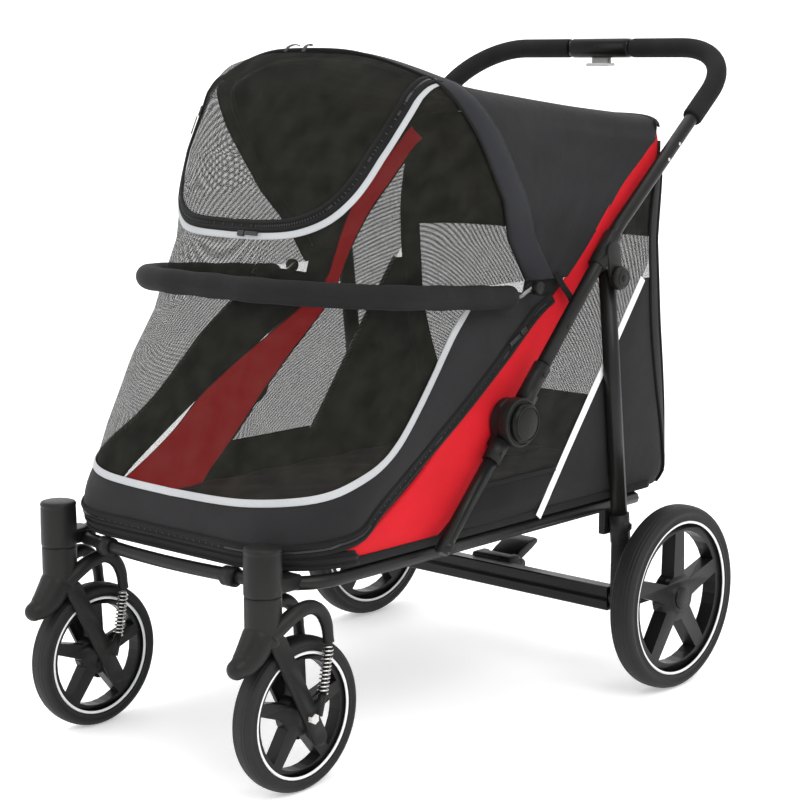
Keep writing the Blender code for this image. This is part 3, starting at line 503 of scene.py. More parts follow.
def proud(surface, s, z, out):
    """Points of a surface moved out along its own normal, the cross product of its two slopes."""
    step = 1e-4
    p = surface(s, z)
    along = surface(s + step, z) - surface(s - step, z)
    upward = surface(s, z + step) - surface(s, z - step)
    normal = np.cross(along, upward)
    normal /= np.maximum(np.linalg.norm(normal, axis=-1, keepdims=True), 1e-12)
    return p + normal * np.broadcast_to(out, s.shape)[..., None], normal


print("cabin runs", round(float(round_at(0.30, 0.5)), 3), "m from the front middle to its rear corner")

# %% [markdown]
# Curves are drawn through a few points with a smooth spline (Catmull-Rom: each stretch is a cubic whose
# slopes come from the neighbouring points). Ribbons, tubes and stitches then follow any curve.


# %% Curves
def smooth(points, count):
    """Evenly spaced points on a Catmull-Rom curve through a short list."""
    p = np.asarray(points, float)
    ends = np.vstack([2 * p[0] - p[1], p, 2 * p[-1] - p[-2]])
    k = np.repeat(np.arange(len(p) - 1), 24)
    t = np.tile(np.arange(24) / 24.0, len(p) - 1)[:, None]
    a, b, c, d = ends[k], ends[k + 1], ends[k + 2], ends[k + 3]
    curve = 0.5 * (2 * b + (c - a) * t + (2 * a - 5 * b + 4 * c - d) * t**2 + (3 * b - a - 3 * c + d) * t**3)
    curve = np.vstack([curve, p[-1]])
    return resample(curve, count)


def resample(curve, count):
    """Points spaced evenly along a polyline."""
    gone = np.concatenate([[0.0], np.cumsum(np.linalg.norm(np.diff(curve, axis=0), axis=1))])
    want = np.linspace(0.0, gone[-1], count)
    return np.stack([np.interp(want, gone, curve[:, k]) for k in range(curve.shape[1])], -1)


def unit(v):
    """Vectors scaled to length 1."""
    return v / np.maximum(np.linalg.norm(v, axis=-1, keepdims=True), 1e-12)


def way(path):
    """The direction of travel at each point of a path."""
    return unit(np.gradient(path, axis=0))


def mirror_s(curve):
    """The same (s, z) curve on the other side, run the other way, then this one: a whole front line."""
    return np.vstack([curve[::-1] * [-1.0, 1.0], curve[1:] if abs(curve[0, 0]) < 1e-9 else curve])


# %% Sheets and ribbons
def put_uv(piece, u, v, faces):
    """Writes a UV map in metres from arrays over the grid's points."""
    layer = piece.data.uv_layers.new(name="cut")
    flat = np.stack([np.asarray(u).reshape(-1), np.asarray(v).reshape(-1)], -1)
    layer.data.foreach_set("uv", flat[np.asarray(faces).reshape(-1)].reshape(-1))


def finish_piece(piece, material, body):
    """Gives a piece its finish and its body."""
    piece.data.materials.append(material)
    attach(piece, body)
    return piece


def thicken(piece, thickness):
    """Gives a sheet its cloth thickness, inwards from its outer face."""
    solid = piece.modifiers.new("cloth", "SOLIDIFY")
    solid.thickness = thickness
    solid.offset = -1.0
    return piece


def surface_piece(name, points, u, v, material, body="base_frame", thickness=0.0):
    """A sheet from a grid of points (m, n, 3)."""
    faces = grid_faces(points.shape[0], points.shape[1])
    piece = mesh_object(name, points, faces)
    put_uv(piece, u, v, faces)
    if thickness:
        thicken(piece, thickness)
    return finish_piece(piece, material, body)


def area_of(points):
    """Area of a grid of points, as the sum of its quads' halves."""
    a = np.cross(points[1:, :-1] - points[:-1, :-1], points[:-1, 1:] - points[:-1, :-1])
    b = np.cross(points[1:, :-1] - points[1:, 1:], points[:-1, 1:] - points[1:, 1:])
    return float((np.linalg.norm(a, axis=-1) + np.linalg.norm(b, axis=-1)).sum() / 2.0)


def declare(piece, points):
    """Prints the flat size that a sheet's own grid has."""
    wide = float(np.linalg.norm(np.diff(points, axis=0), axis=-1).sum(0).max())
    tall = float(np.linalg.norm(np.diff(points, axis=1), axis=-1).sum(1).max())
    area = min(area_of(points), wide * tall)
    wide = min(wide, area / (0.35 * tall))  # a long wedge is cut from a strip narrower than its widest end
    print(piece.name, "cut", round(wide, 3), "x", round(tall, 3), "m")


def ribbon(name, path, normal, width, thick, material, body="base_frame", slot="charcoal_fabric", sharp=0.5):
    """A flat tape along a path: its section is an ellipse whose sides are squared by a power."""
    sides = 12
    turn = np.arange(sides) * 2.0 * pi / sides + pi / sides
    a = np.sign(np.cos(turn)) * np.abs(np.cos(turn)) ** sharp * width / 2.0
    b = np.sign(np.sin(turn)) * np.abs(np.sin(turn)) ** 0.8 * thick / 2.0
    across = unit(np.cross(normal, way(path)))
    points = path[:, None] + across[:, None] * a[None, :, None] + unit(normal)[:, None] * b[None, :, None]
    return tube_piece(name, points, material, body)


def close_up(piece, caps=(), merge=0.0):
    """Merges points nearer than a distance, adds an end face for each list of point numbers, and turns
    every face outwards."""
    work = bmesh.new()
    work.from_mesh(piece.data)
    if merge:
        bmesh.ops.remove_doubles(work, verts=work.verts, dist=merge)
    work.verts.ensure_lookup_table()
    for cap in caps:
        work.faces.new([work.verts[k] for k in cap])
    bmesh.ops.recalc_face_normals(work, faces=work.faces)
    work.to_mesh(piece.data)
    work.free()


def tube_piece(name, points, material, body, closed=False):
    """A closed tube from rings of points (m, sides, 3), with flat ends, or joined into a loop. Its UV map
    goes 2 mm from one side of the ring to the next."""
    m, n = points.shape[:2]
    faces = grid_faces(m, n, closed, True)
    piece = mesh_object(name, points, faces)
    length = np.concatenate([[0.0], np.cumsum(np.linalg.norm(np.diff(points[:, 0], axis=0), axis=1))])
    put_uv(piece, np.repeat(length, n), np.tile(np.arange(n) * 0.002, m), faces)
    close_up(piece, () if closed else (range(n)[::-1], range((m - 1) * n, m * n)))
    return finish_piece(piece, material, body)


def rope(name, path, radius, material, body, sides=10, up=(0.0, 0.0, 1.0)):
    """A round tube along a path, its ring turned to the path with a fixed up direction."""
    ahead = way(path)
    side = unit(np.cross(ahead, np.asarray(up, float)))
    top = np.cross(side, ahead)
    turn = np.arange(sides) * 2.0 * pi / sides
    r = np.broadcast_to(radius, (len(path),))[:, None, None]
    ring = side[:, None] * np.cos(turn)[None, :, None] + top[:, None] * np.sin(turn)[None, :, None]
    return tube_piece(name, path[:, None] + r * ring, material, body)


def scatter(name, frames, size, material, body):
    """Many small eight-cornered blocks, one at each frame (place, ahead, side, up)."""
    place, ahead, side, up = frames
    a, b, c = size
    corner = np.array([[i, j, k] for i in (-1, 1) for j in (-1, 1) for k in (-1, 1)], float) / 2.0
    taper = np.where(corner[:, 2:3] > 0, 0.7, 1.0)
    points = (place[:, None] + ahead[:, None] * (corner[None, :, 0:1] * a * taper)
              + side[:, None] * (corner[None, :, 1:2] * b * taper) + up[:, None] * (corner[None, :, 2:3] * c))
    quads = np.array([[0, 1, 3, 2], [4, 6, 7, 5], [0, 4, 5, 1], [2, 3, 7, 6], [0, 2, 6, 4], [1, 5, 7, 3]])
    faces = (np.arange(len(place))[:, None, None] * 8 + quads[None]).reshape(-1, 4)
    piece = mesh_object(name, points, faces, smooth=False)
    return finish_piece(piece, material, body)


def sewn(name, curve, surface, out, width, thick, material, **more):
    """A tape that follows an (s, z) curve on a surface."""
    path, normal = proud(surface, curve[:, 0], curve[:, 1], out)
    return ribbon(name, path, normal, width, thick, material, **more)


def frames_along(path, normal, pitch):
    """Frames (place, ahead, side, up) a pitch apart on a path that has a normal at each point."""
    length = np.linalg.norm(np.diff(path, axis=0), axis=1).sum()
    both = resample(np.hstack([path, normal]), max(int(length / pitch), 2))
    place, up = both[:, :3], unit(both[:, 3:])
    ahead = way(place)
    return place, ahead, np.cross(up, ahead), up


def stitches(name, path, normal, body="base_frame", pitch=0.0042):
    """A row of short raised stitches along a path."""
    return scatter(name, frames_along(path, normal, pitch), (pitch * 0.62, 0.0008, 0.0007), THREAD, body)


ZIP_PITCH = 0.0034


def zip_line(name, curve, surface, out, body="base_frame"):
    """A zip: a dark tape, two raised ridges, and teeth between them."""
    path, normal = proud(surface, curve[:, 0], curve[:, 1], out)
    across = unit(np.cross(normal, way(path)))
    ribbon(name + "_tape", path, normal, 0.019, 0.0022, DARK, body)
    for tag, move in (("a", -0.0052), ("b", 0.0052)):
        ribbon(name + "_ridge_" + tag, path + across * move + normal * 0.0010, normal, 0.0052, 0.0030, DARK, body,
               sharp=0.9)
    length = np.linalg.norm(np.diff(path, axis=0), axis=1).sum()
    both = resample(np.hstack([path + normal * 0.0012, normal]), int(length / ZIP_PITCH))
    place, up = both[:, :3], unit(both[:, 3:])
    ahead = way(place)
    return scatter(name + "_teeth", (place, ahead, np.cross(up, ahead), up), (0.0018, 0.0044, 0.0016), ZIP, body)


# %% [markdown]
# The front door is one panel: netting in the middle, edged by a reflective U, with a canvas border
# outside it that ends at the door's zip. Below the zip a padded hem closes the cabin's floor.

# %% Front door
U_HALF = [(0.0, 0.385), (0.10, 0.387), (0.204, 0.394), (0.256, 0.402), (0.296, 0.418), (0.328, 0.436),
          (0.354, 0.462), (0.378, 0.508), (0.400, 0.560), (0.414, 0.592), (0.432, 0.622), (0.444, 0.656)]
ZIP_SIDE = [(-0.345, 0.343), (-0.300, 0.374), (-0.215, 0.430), (-0.137, 0.477), (-0.061, 0.524),
            (0.022, 0.575), (0.106, 0.626)]
zip_points = [(0.0, 0.3325), (0.12, 0.3325), (0.22, 0.3325)]
zip_points += [(float(round_at(y, z)), z) for y, z in ZIP_SIDE]
u_line = mirror_s(smooth(U_HALF, 60))
zip_half = smooth(zip_points, 60)
zip_line_sz = mirror_s(zip_half)


NET_EASE = 1.06  # the front leans, so a metre of height is a little more along the cloth


def between_curves(low, high, rows):
    """A grid of (s, z) from one curve to another, in straight steps."""
    t = np.linspace(0.0, 1.0, rows)[None, :, None]
    return low[:, None] * (1.0 - t) + high[:, None] * t


def panel(name, low, high, rows, out, material, thickness=0.0016, bulge=0.0):
    """A sewn panel between two (s, z) curves, a little fuller in its middle; its cut size is printed."""
    sz = between_curves(low, high, rows)
    full = out + bulge * np.sin(pi * np.linspace(0.0, 1.0, rows))[None, :] + np.zeros(sz.shape[:2])
    points, _ = proud(wrap, sz[..., 0], sz[..., 1], full)
    piece = surface_piece(name, points, sz[..., 0], sz[..., 1] * NET_EASE, material, thickness=thickness)
    declare(piece, points)
    return piece


def puckers(sz, depth, count):
    """Small soft folds: a few slanted waves of different length added together."""
    s, z = sz[..., 0], sz[..., 1]
    return depth * (np.sin(count * (s + 0.6 * z)) + 0.6 * np.sin(1.7 * count * (s - 0.8 * z) + 1.3)
                    + 0.4 * np.sin(2.9 * count * (z + 0.2 * s) + 0.4))


door_border = panel("door_border", zip_line_sz, u_line, 18, 0.0015, CHARCOAL, bulge=0.004)
NET_COLUMNS = 121
net_s = np.linspace(-u_line[-1, 0], u_line[-1, 0], NET_COLUMNS)
net_low = np.interp(net_s, u_line[:, 0], u_line[:, 1])
net_sz = between_curves(np.stack([net_s, net_low], -1), np.stack([net_s, np.full(NET_COLUMNS, 0.664)], -1), 40)
net_points, _ = proud(wrap, net_sz[..., 0], net_sz[..., 1], 0.0004 + puckers(net_sz, 0.0004, 14.0))
door_net = surface_piece("door_net", net_points, net_sz[..., 0], net_sz[..., 1] * NET_EASE, NET_DARK)
declare(door_net, net_points)
sewn("door_piping", u_line, wrap, 0.0034, 0.0108, 0.0024, PIPING)
zip_line("door_zip", zip_line_sz, wrap, 0.0036)
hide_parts("cabin_body")
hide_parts("mesh_hood")


def along(low, high, count=60):
    """A straight (s, z) line between two points."""
    return np.stack([np.linspace(low[0], high[0], count), np.linspace(low[1], high[1], count)], -1)


hem_s = float(round_at(-0.345, 0.325))
hem_low = along((-hem_s, FLOOR_Z), (hem_s, FLOOR_Z), 90)
hem_high = along((-hem_s, 0.328), (hem_s, 0.328), 90)
panel("front_hem", hem_low, hem_high, 10, 0.0005, DARK, bulge=0.0045, thickness=0.002)
for index, level in enumerate((0.3085, 0.3185)):
    sewn(f"front_hem_cord_{index}", along((-hem_s, level), (hem_s, level), 90), wrap, 0.0045, 0.006, 0.0045, DARK,
         sharp=1.0)
print("door and hem done")

# %% [markdown]
# Each side is pieced from five cuts: a red wedge that runs up along the tube as a stripe, a net window,
# a low dark pocket, a solid quarter behind a white diagonal tape, and a small gusset at the canopy's foot.
# Behind the wedge lies a thin red sheet with a painted glow: an emission that stands in for daylight
# coming through the red cloth. All are drawn once in (y, z), turned to (s, z), and made for both sides.

# %% Side panels
RED_EDGE = [(-0.380, 0.316), (-0.290, 0.363), (-0.215, 0.410), (-0.158, 0.458), (-0.083, 0.505), (-0.010, 0.545),
            (0.059, 0.588), (0.112, 0.632), (0.182, 0.723), (0.241, 0.784), (0.297, 0.826), (0.338, 0.862)]
TUBE_LINE = [(-0.176, 0.306), (-0.100, 0.374), (-0.012, 0.462), (0.038, 0.512), (0.098, 0.566), (0.142, 0.612),
             (0.174, 0.650), (0.203, 0.688), (0.236, 0.727), (0.286, 0.772), (0.332, 0.815), (0.356, 0.842)]
CORNER_LINE = [(0.384, 0.3065), (0.371, 0.380), (0.347, 0.470), (0.330, 0.560), (0.324, 0.640), (0.322, 0.665),
               (0.320, 0.722), (0.328, 0.780), (0.344, 0.850)]
TAPE_LOW, TAPE_HIGH = (0.047, 0.306), (0.303, 0.640)
TAPE_STRAIGHT_BELOW = 0.352
WINDOW_TOP = 0.806
POCKET_TOP = 0.372


def in_s(curve, side):
    """A (y, z) curve on a side turned to (s, z), for the left (+1) or the right (-1)."""
    s = round_at(curve[:, 0], curve[:, 1])
    return np.stack([side * s, curve[:, 1]], -1)


def side_panel(name, left, right, rows, out, material, side, bulge=0.0, thickness=0.0016):
    """A panel from its front curve to its rear curve. Its grid runs so that the outside faces out."""
    low, high = in_s(left, side), in_s(right, side)
    sz = between_curves(low, high, rows).transpose(1, 0, 2)
    if side < 0:
        sz = sz[::-1]
    full = out + bulge * np.sin(pi * np.linspace(0.0, 1.0, rows))[:, None] * np.sin(
        pi * np.linspace(0.02, 0.98, sz.shape[1]))[None, :]
    points, _ = proud(wrap, sz[..., 0], sz[..., 1], full)
    piece = surface_piece(name, points, sz[..., 0], sz[..., 1] * 1.02, material, "base_frame", thickness)
    declare(piece, points)
    return piece


def part_of(curve, low, high, count=50):
    """The stretch of a (y, z) curve between two heights."""
    dense = smooth(curve, 400)
    return resample(dense[(dense[:, 1] >= low) & (dense[:, 1] <= high)], count)


tube_curve = smooth(TUBE_LINE, 80)
red_curve = smooth(RED_EDGE, 80)
for side_name, side in (("left", 1.0), ("right", -1.0)):
    side_panel("red_wedge_" + side_name, red_curve, tube_curve, 16, 0.0012, RED, side, 0.003)
    # Just inside each wedge: the sheet with the painted glow.
    side_panel("red_glow_sheet_" + side_name, red_curve, tube_curve, 16, -0.0016, RED_PAINTED_GLOW, side, 0.003,
               0.0004)
    window_front = part_of(TUBE_LINE, POCKET_TOP, WINDOW_TOP)
    share = (POCKET_TOP - TAPE_LOW[1]) / (TAPE_HIGH[1] - TAPE_LOW[1])
    pocket_end = (TAPE_LOW[0] + share * (TAPE_HIGH[0] - TAPE_LOW[0]), POCKET_TOP)
    window_rear = np.vstack([along(pocket_end, TAPE_HIGH, 30), CORNER_LINE[5:7],
                             [(0.330, 0.790), (0.334, WINDOW_TOP)]])
    side_panel("side_window_" + side_name, window_front, resample(window_rear, 50), 36, 0.0002, NET_SIDE, side,
               0.0, 0.0)
    pocket_front = part_of(TUBE_LINE, 0.306, POCKET_TOP)
    side_panel("side_pocket_" + side_name, pocket_front, along(TAPE_LOW, pocket_end, 50), 16, 0.0014, DARK, side,
               0.005)
    solid_front = along(TAPE_LOW, TAPE_HIGH, 60)
    solid_rear = smooth([(y + 0.003, z) for y, z in CORNER_LINE[:5]], 60)
    side_panel("rear_quarter_" + side_name, solid_front, solid_rear, 16, 0.0012, CHARCOAL, side, 0.003)
    gusset_front = smooth([(0.020, 0.600), (0.045, 0.630), (0.058, 0.668)], 30)
    gusset_rear = smooth([(0.112, 0.628), (0.122, 0.645), (0.134, 0.668)], 30)
    side_panel("foot_gusset_" + side_name, gusset_front, gusset_rear, 8, 0.0006, DARK, side)
    white = in_s(along(TAPE_LOW, TAPE_HIGH, 70), side)
    tape_path, tape_normal = proud(wrap, white[:, 0], white[:, 1], 0.0032)
    low_part = tape_path[:, 2] < TAPE_STRAIGHT_BELOW
    tape_path[low_part, 0] = tape_path[~low_part][0, 0]
    tape_normal[low_part] = tape_normal[~low_part][0]
    ribbon("side_tape_" + side_name, tape_path, tape_normal, 0.0130, 0.0024, WHITE_TAPE)
    rim = in_s(along((-0.098, POCKET_TOP), (pocket_end[0] - 0.010, POCKET_TOP), 30), side)
    sewn("pocket_rim_" + side_name, rim, wrap, 0.0034, 0.007, 0.0018, DARK)
    sewn("stripe_binding_" + side_name, in_s(tube_curve, side), wrap, 0.0012, 0.0110, 0.0042, DARK, sharp=0.8)
    hem = in_s(along((-0.365, 0.3095), (0.340, 0.3095), 90), side)
    sewn("side_hem_" + side_name, hem, wrap, 0.0022, 0.014, 0.0055, DARK, sharp=0.8)
print("sides done")

# %% [markdown]
# The back is out of sight in most views, but a user opens it often: a solid lower panel, a net window, a
# dark head panel over it, and the window's flap rolled up in two straps. Black bindings cover the two
# rounded rear corners, and a small dark head closes the top of each side window beside them.

# %% Back
BINDING_Z, BINDING_WIDE = [0.3065, 0.56, 0.85], [0.052, 0.034, 0.030]
for side_name, side in (("left", 1.0), ("right", -1.0)):
    front_edge = in_s(smooth(CORNER_LINE, 60), side)
    wide = np.interp(front_edge[:, 1], BINDING_Z, BINDING_WIDE)
    back_edge = front_edge + np.stack([side * wide, np.zeros(60)], -1)
    low, high = (front_edge, back_edge) if side > 0 else (back_edge, front_edge)
    sz = between_curves(low, high, 9).transpose(1, 0, 2)
    points, _ = proud(wrap, sz[..., 0], sz[..., 1], 0.0028)
    binding = surface_piece("corner_binding_" + side_name, points, sz[..., 0], sz[..., 1], DARK, thickness=0.002)
    declare(binding, points)
    for tag, edge in (("front", front_edge), ("back", back_edge)):
        sewn(f"corner_cord_{side_name}_{tag}", edge, wrap, 0.0036, 0.0050, 0.0046, DARK, sharp=1.0)

REAR_LOW = 0.3065
REAR_SOLID_TOP = 0.412
REAR_NET_TOP = 0.704
REAR_TOP = 0.8890


def rear_grid(z_low, z_high, across, rows, out):
    """Points of the back between the two corners, at the rear line, seen from behind."""
    z = np.linspace(z_low, z_high, rows)
    line = smooth(CORNER_LINE, 60)
    start = round_at(np.interp(z, line[:, 1], line[:, 0]), z)
    edge = wrap(start + 0.8 * np.interp(z, BINDING_Z, BINDING_WIDE), z)[:, 0]
    x = np.linspace(1.0, -1.0, across)[:, None] * edge[None, :]
    z = np.broadcast_to(z[None, :], x.shape)
    tail, r1 = at(TAIL_HALF, z), at(TAIL_ROUND, z)
    over = np.clip((np.abs(x) - (tail - r1)) / r1, 0.0, 1.0)
    y = at(REAR_LINE, z) - r1 * (1.0 - np.sqrt(1.0 - over**2)) + out
    return np.stack([x, y, z], -1)


for side_name, side in (("left", 1.0), ("right", -1.0)):
    z = np.linspace(0.800, 0.884, 16)
    line = smooth(CORNER_LINE, 60)
    start = round_at(np.interp(z, [0.800, 0.815, 0.842, 0.862, 0.884], [0.316, 0.332, 0.350, 0.340, 0.336]), z)
    end = round_at(np.interp(z, line[:, 1], line[:, 0]), z) + 0.030
    sz = np.stack([side * (start[:, None] + (end - start)[:, None] * np.linspace(0.0, 1.0, 14)),
                   np.repeat(z[:, None], 14, 1)], -1).transpose(1, 0, 2)
    sz = sz if side > 0 else sz[::-1]
    points, _ = proud(wrap, sz[..., 0], sz[..., 1], 0.0004)
    head = surface_piece("window_head_" + side_name, points, sz[..., 0], sz[..., 1], DARK, thickness=0.0012)
    declare(head, points)

rear_low = rear_grid(REAR_LOW, REAR_SOLID_TOP, 41, 20, 0.0)
rear_low[..., 1] += 0.004 * np.sin(pi * (rear_low[..., 2] - REAR_LOW) / (REAR_SOLID_TOP - REAR_LOW))
rear_panel = surface_piece("rear_panel", rear_low, rear_low[..., 0], rear_low[..., 2], CHARCOAL, thickness=0.0016)
declare(rear_panel, rear_low)
rear_high = rear_grid(REAR_SOLID_TOP, REAR_NET_TOP, 61, 40, -0.0006)
rear_net = surface_piece("rear_net", rear_high, rear_high[..., 0], rear_high[..., 2], NET_SIDE)
declare(rear_net, rear_high)
rear_upper = rear_grid(REAR_NET_TOP, REAR_TOP, 41, 20, 0.0)
drop = np.clip((np.abs(rear_upper[..., 0]) - 0.19) / 0.05, 0.0, 1.0)
rear_upper[..., 2] -= 0.006 * drop * (rear_upper[..., 2] - REAR_NET_TOP) / (REAR_TOP - REAR_NET_TOP)
rear_head = surface_piece("rear_head_panel", rear_upper, rear_upper[..., 0], rear_upper[..., 2], DARK,
                          thickness=0.0016)
declare(rear_head, rear_upper)
for tag, level in (("low", 0.3095), ("middle", REAR_SOLID_TOP), ("high", REAR_NET_TOP)):
    line = rear_grid(level, level + 1e-6, 60, 2, 0.0024)[:, 0]
    ribbon("rear_tape_" + tag, line, np.tile([0.0, 1.0, 0.0], (60, 1)), 0.016, 0.0030, DARK)


ROLL_Y, ROLL_Z = 0.4125, 0.772


def rolled_flap():
    """A roll of cloth lying across: its section is a spiral, so its ends show the turns."""
    x = np.linspace(-0.188, 0.188, 60)
    turn = np.linspace(0.0, 5.0 * pi, 90)
    radius = 0.006 + 0.0115 * turn / turn[-1]
    centre_z = ROLL_Z + 0.003 * np.sin(9.0 * x)
    y = ROLL_Y + radius[None, :] * np.cos(turn)[None, :] + 0.0006 * np.sin(70.0 * x)[:, None]
    z = centre_z[:, None] + radius[None, :] * np.sin(turn)[None, :]
    grid = np.stack([np.broadcast_to(x[:, None], y.shape), y, z], -1)
    length = np.concatenate([[0.0], np.cumsum(np.linalg.norm(np.diff(grid[0], axis=0), axis=1))])
    u, v = np.broadcast_arrays(x[:, None], length[None, :])
    piece = surface_piece("rear_flap_roll", grid, u, v, CHARCOAL, thickness=0.0012)
    declare(piece, grid)


rolled_flap()
for tag, x in (("left", 0.120), ("right", -0.120)):
    turn = np.linspace(0.0, 2.0 * pi, 49)[:-1]
    loop = np.stack([np.full(48, x), ROLL_Y + 0.0200 * np.cos(turn), ROLL_Z + 0.0205 * np.sin(turn)], -1)
    out = np.stack([np.zeros(48), np.cos(turn), np.sin(turn)], -1)
    ahead = unit(np.roll(loop, -1, 0) - np.roll(loop, 1, 0))
    side = np.cross(out, ahead)
    ring = np.array([[-1, -1], [1, -1], [1, 1], [-1, 1]]) * [0.010, 0.0008]
    points = loop[:, None] + side[:, None] * ring[None, :, 0:1] + out[:, None] * ring[None, :, 1:2]
    tube_piece("flap_strap_" + tag, points, DARK, "base_frame", closed=True)
print("back done")

# %% [markdown]
# The hood is netting pulled over the front like a visor, up to the canopy's bow. Its upper part is a flap
# that unzips: a fuller piece of net, edged by a zip and a reflective tape. Where the skin meets the bow's
# leaning plane is found on a dense column of heights for every s at once.

# %% Hood
BOW_LOW = (0.056, 0.655)
BOW_HIGH = (-0.167, 0.989)
bow_normal = np.array([BOW_HIGH[1] - BOW_LOW[1], BOW_LOW[0] - BOW_HIGH[0]])
bow_normal /= np.linalg.norm(bow_normal)


def bow_height(s):
    """The z at which the hood's skin reaches the bow plane, for each s."""
    z = np.linspace(0.640, 1.058, 500)
    p = hood(s[:, None], z[None, :])
    gap = (p[..., 1] - BOW_LOW[0]) * bow_normal[0] + (p[..., 2] - BOW_LOW[1]) * bow_normal[1]
    first = np.argmax(gap >= 0.0, axis=1)
    first = np.clip(first, 1, len(z) - 1)
    rows = np.arange(len(s))
    g0, g1 = gap[rows, first - 1], gap[rows, first]
    share = np.clip(-g0 / np.where(np.abs(g1 - g0) < 1e-9, 1.0, g1 - g0), 0.0, 1.0)
    return z[first - 1] + share * (z[1] - z[0])


HOOD_FOOT = float(round_at(*BOW_LOW))
HOOD_COLUMNS, FLAP_COLUMNS, HOOD_ROWS = 161, 101, 60
hood_s = HOOD_FOOT * np.sin(np.linspace(-pi / 2.0, pi / 2.0, HOOD_COLUMNS))
hood_top = np.maximum(bow_height(hood_s), 0.6555)
FLAP_HALF = [(0.0, 0.7325), (0.074, 0.7345), (0.120, 0.7415), (0.158, 0.760), (0.186, 0.792), (0.208, 0.842),
             (0.223, 0.890), (0.235, 0.932), (0.246, 0.968)]
flap_line = mirror_s(smooth(FLAP_HALF, 60))
flap_zip = flap_line * [0.942, 1.0]
flap_zip[:, 1] += 0.013 * np.clip(1.0 - (np.abs(flap_line[:, 0]) / 0.26) ** 4, 0.0, 1.0)
under_flap = np.interp(hood_s, flap_zip[:, 0], flap_zip[:, 1] + 0.002, 2.0, 2.0)
hood_sz = between_curves(np.stack([hood_s, np.full(HOOD_COLUMNS, 0.654)], -1),
                         np.stack([hood_s, np.minimum(hood_top, under_flap)], -1), HOOD_ROWS)
hood_points, _ = proud(hood, hood_sz[..., 0], hood_sz[..., 1], 0.0002 + puckers(hood_sz, 0.0003, 14.0))
hood_net = surface_piece("hood_net", hood_points, hood_sz[..., 0], hood_sz[..., 1] * NET_EASE, NET_DARK)
declare(hood_net, hood_points)

flap_s = np.linspace(flap_zip[0, 0], flap_zip[-1, 0], FLAP_COLUMNS)
flap_low = np.interp(flap_s, flap_zip[:, 0], flap_zip[:, 1])
flap_sz = between_curves(np.stack([flap_s, flap_low], -1), np.stack([flap_s, bow_height(flap_s)], -1), HOOD_ROWS)
slack = 0.0045 * np.sin(pi * np.linspace(0.0, 1.0, HOOD_ROWS))[None, :] * np.cos(pi * flap_s / 0.46)[:, None]
flap_points, _ = proud(hood, flap_sz[..., 0], flap_sz[..., 1], 0.0018 + slack + puckers(flap_sz, 0.0010, 17.0))
hood_flap = surface_piece("hood_flap", flap_points, flap_sz[..., 0], flap_sz[..., 1] * NET_EASE, NET_DARK)
declare(hood_flap, flap_points)
sewn("flap_piping", flap_line, hood, 0.0024, 0.0105, 0.0024, PIPING)
zip_line("flap_zip", flap_zip, hood, 0.0032)
print("hood foot at s =", round(HOOD_FOOT, 3), "top at", round(float(hood_top.max()), 3))

# %% [markdown]
# The canopy is one sheet stretched from the bow to a flat rear edge. Both edges are curves with their
# points spaced evenly, and the sheet runs straight between them with a slight sag, as tensioned cloth does.
# A padded band goes along its front edge, over the bow's rod.

# %% Canopy
front_curve, _ = proud(hood, hood_s, np.maximum(hood_top - 0.002, 0.656), 0.0022)
STRIPE_TOP = [(0.134, 0.655), (0.163, 0.692), (0.190, 0.727), (0.245, 0.786), (0.300, 0.829), (0.333, 0.857)]
rise = smooth(STRIPE_TOP, 40)
rise_points, _ = proud(wrap, round_at(rise[:, 0], rise[:, 1]), rise[:, 1], 0.0016)
rear_half = np.vstack([rise_points, [(0.2505, 0.345, 0.874), (0.238, 0.353, 0.8845), (0.215, 0.357, 0.8885),
                                     (0.150, 0.357, 0.889), (0.070, 0.357, 0.8895), (0.0, 0.357, 0.8895)]])
rear_half = smooth(rear_half[::3] if len(rear_half) % 3 == 1 else np.vstack([rear_half[:40:3], rear_half[40:]]), 100)
rear_curve = np.vstack([rear_half * [-1.0, 1.0, 1.0], rear_half[-2::-1]])
ACROSS, BACK = 161, 56
front_even = resample(front_curve, ACROSS)
rear_even = resample(rear_curve, ACROSS)
t = np.linspace(0.0, 1.0, BACK)[None, :, None]
canopy_points = front_even[:, None] * (1.0 - t) + rear_even[:, None] * t
sag = 0.016 * 4.0 * t[..., 0] * (1.0 - t[..., 0]) * np.clip(1.0 - (canopy_points[..., 0] / 0.245) ** 2, 0.0, 1.0)
canopy_points[..., 2] -= sag
round_about = np.linspace(-1.0, 1.0, ACROSS)[:, None]
fold = (0.0011 * np.sin(34.0 * round_about + 3.0 * t[..., 0]) * np.sin(pi * t[..., 0])
        + 0.0007 * np.sin(61.0 * round_about - 7.0 * t[..., 0]) * np.sin(pi * t[..., 0]) ** 2)
side_pull = np.clip((np.abs(canopy_points[..., 0]) - 0.20) / 0.05, 0.0, 1.0)
canopy_points[..., 0] -= np.sign(canopy_points[..., 0]) * side_pull * (0.004 * np.sin(pi * t[..., 0]) - fold)
canopy_points[..., 2] += fold * (1.0 - side_pull)
canopy_u = np.broadcast_to(np.linspace(-0.52, 0.52, ACROSS)[:, None], (ACROSS, BACK))
canopy_v = np.broadcast_to(np.linspace(0.0, 0.50, BACK)[None, :], (ACROSS, BACK))
canopy = surface_piece("canopy_cloth", canopy_points, canopy_u, canopy_v, CHARCOAL, thickness=0.0016)
declare(canopy, canopy_points)
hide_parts("canopy")

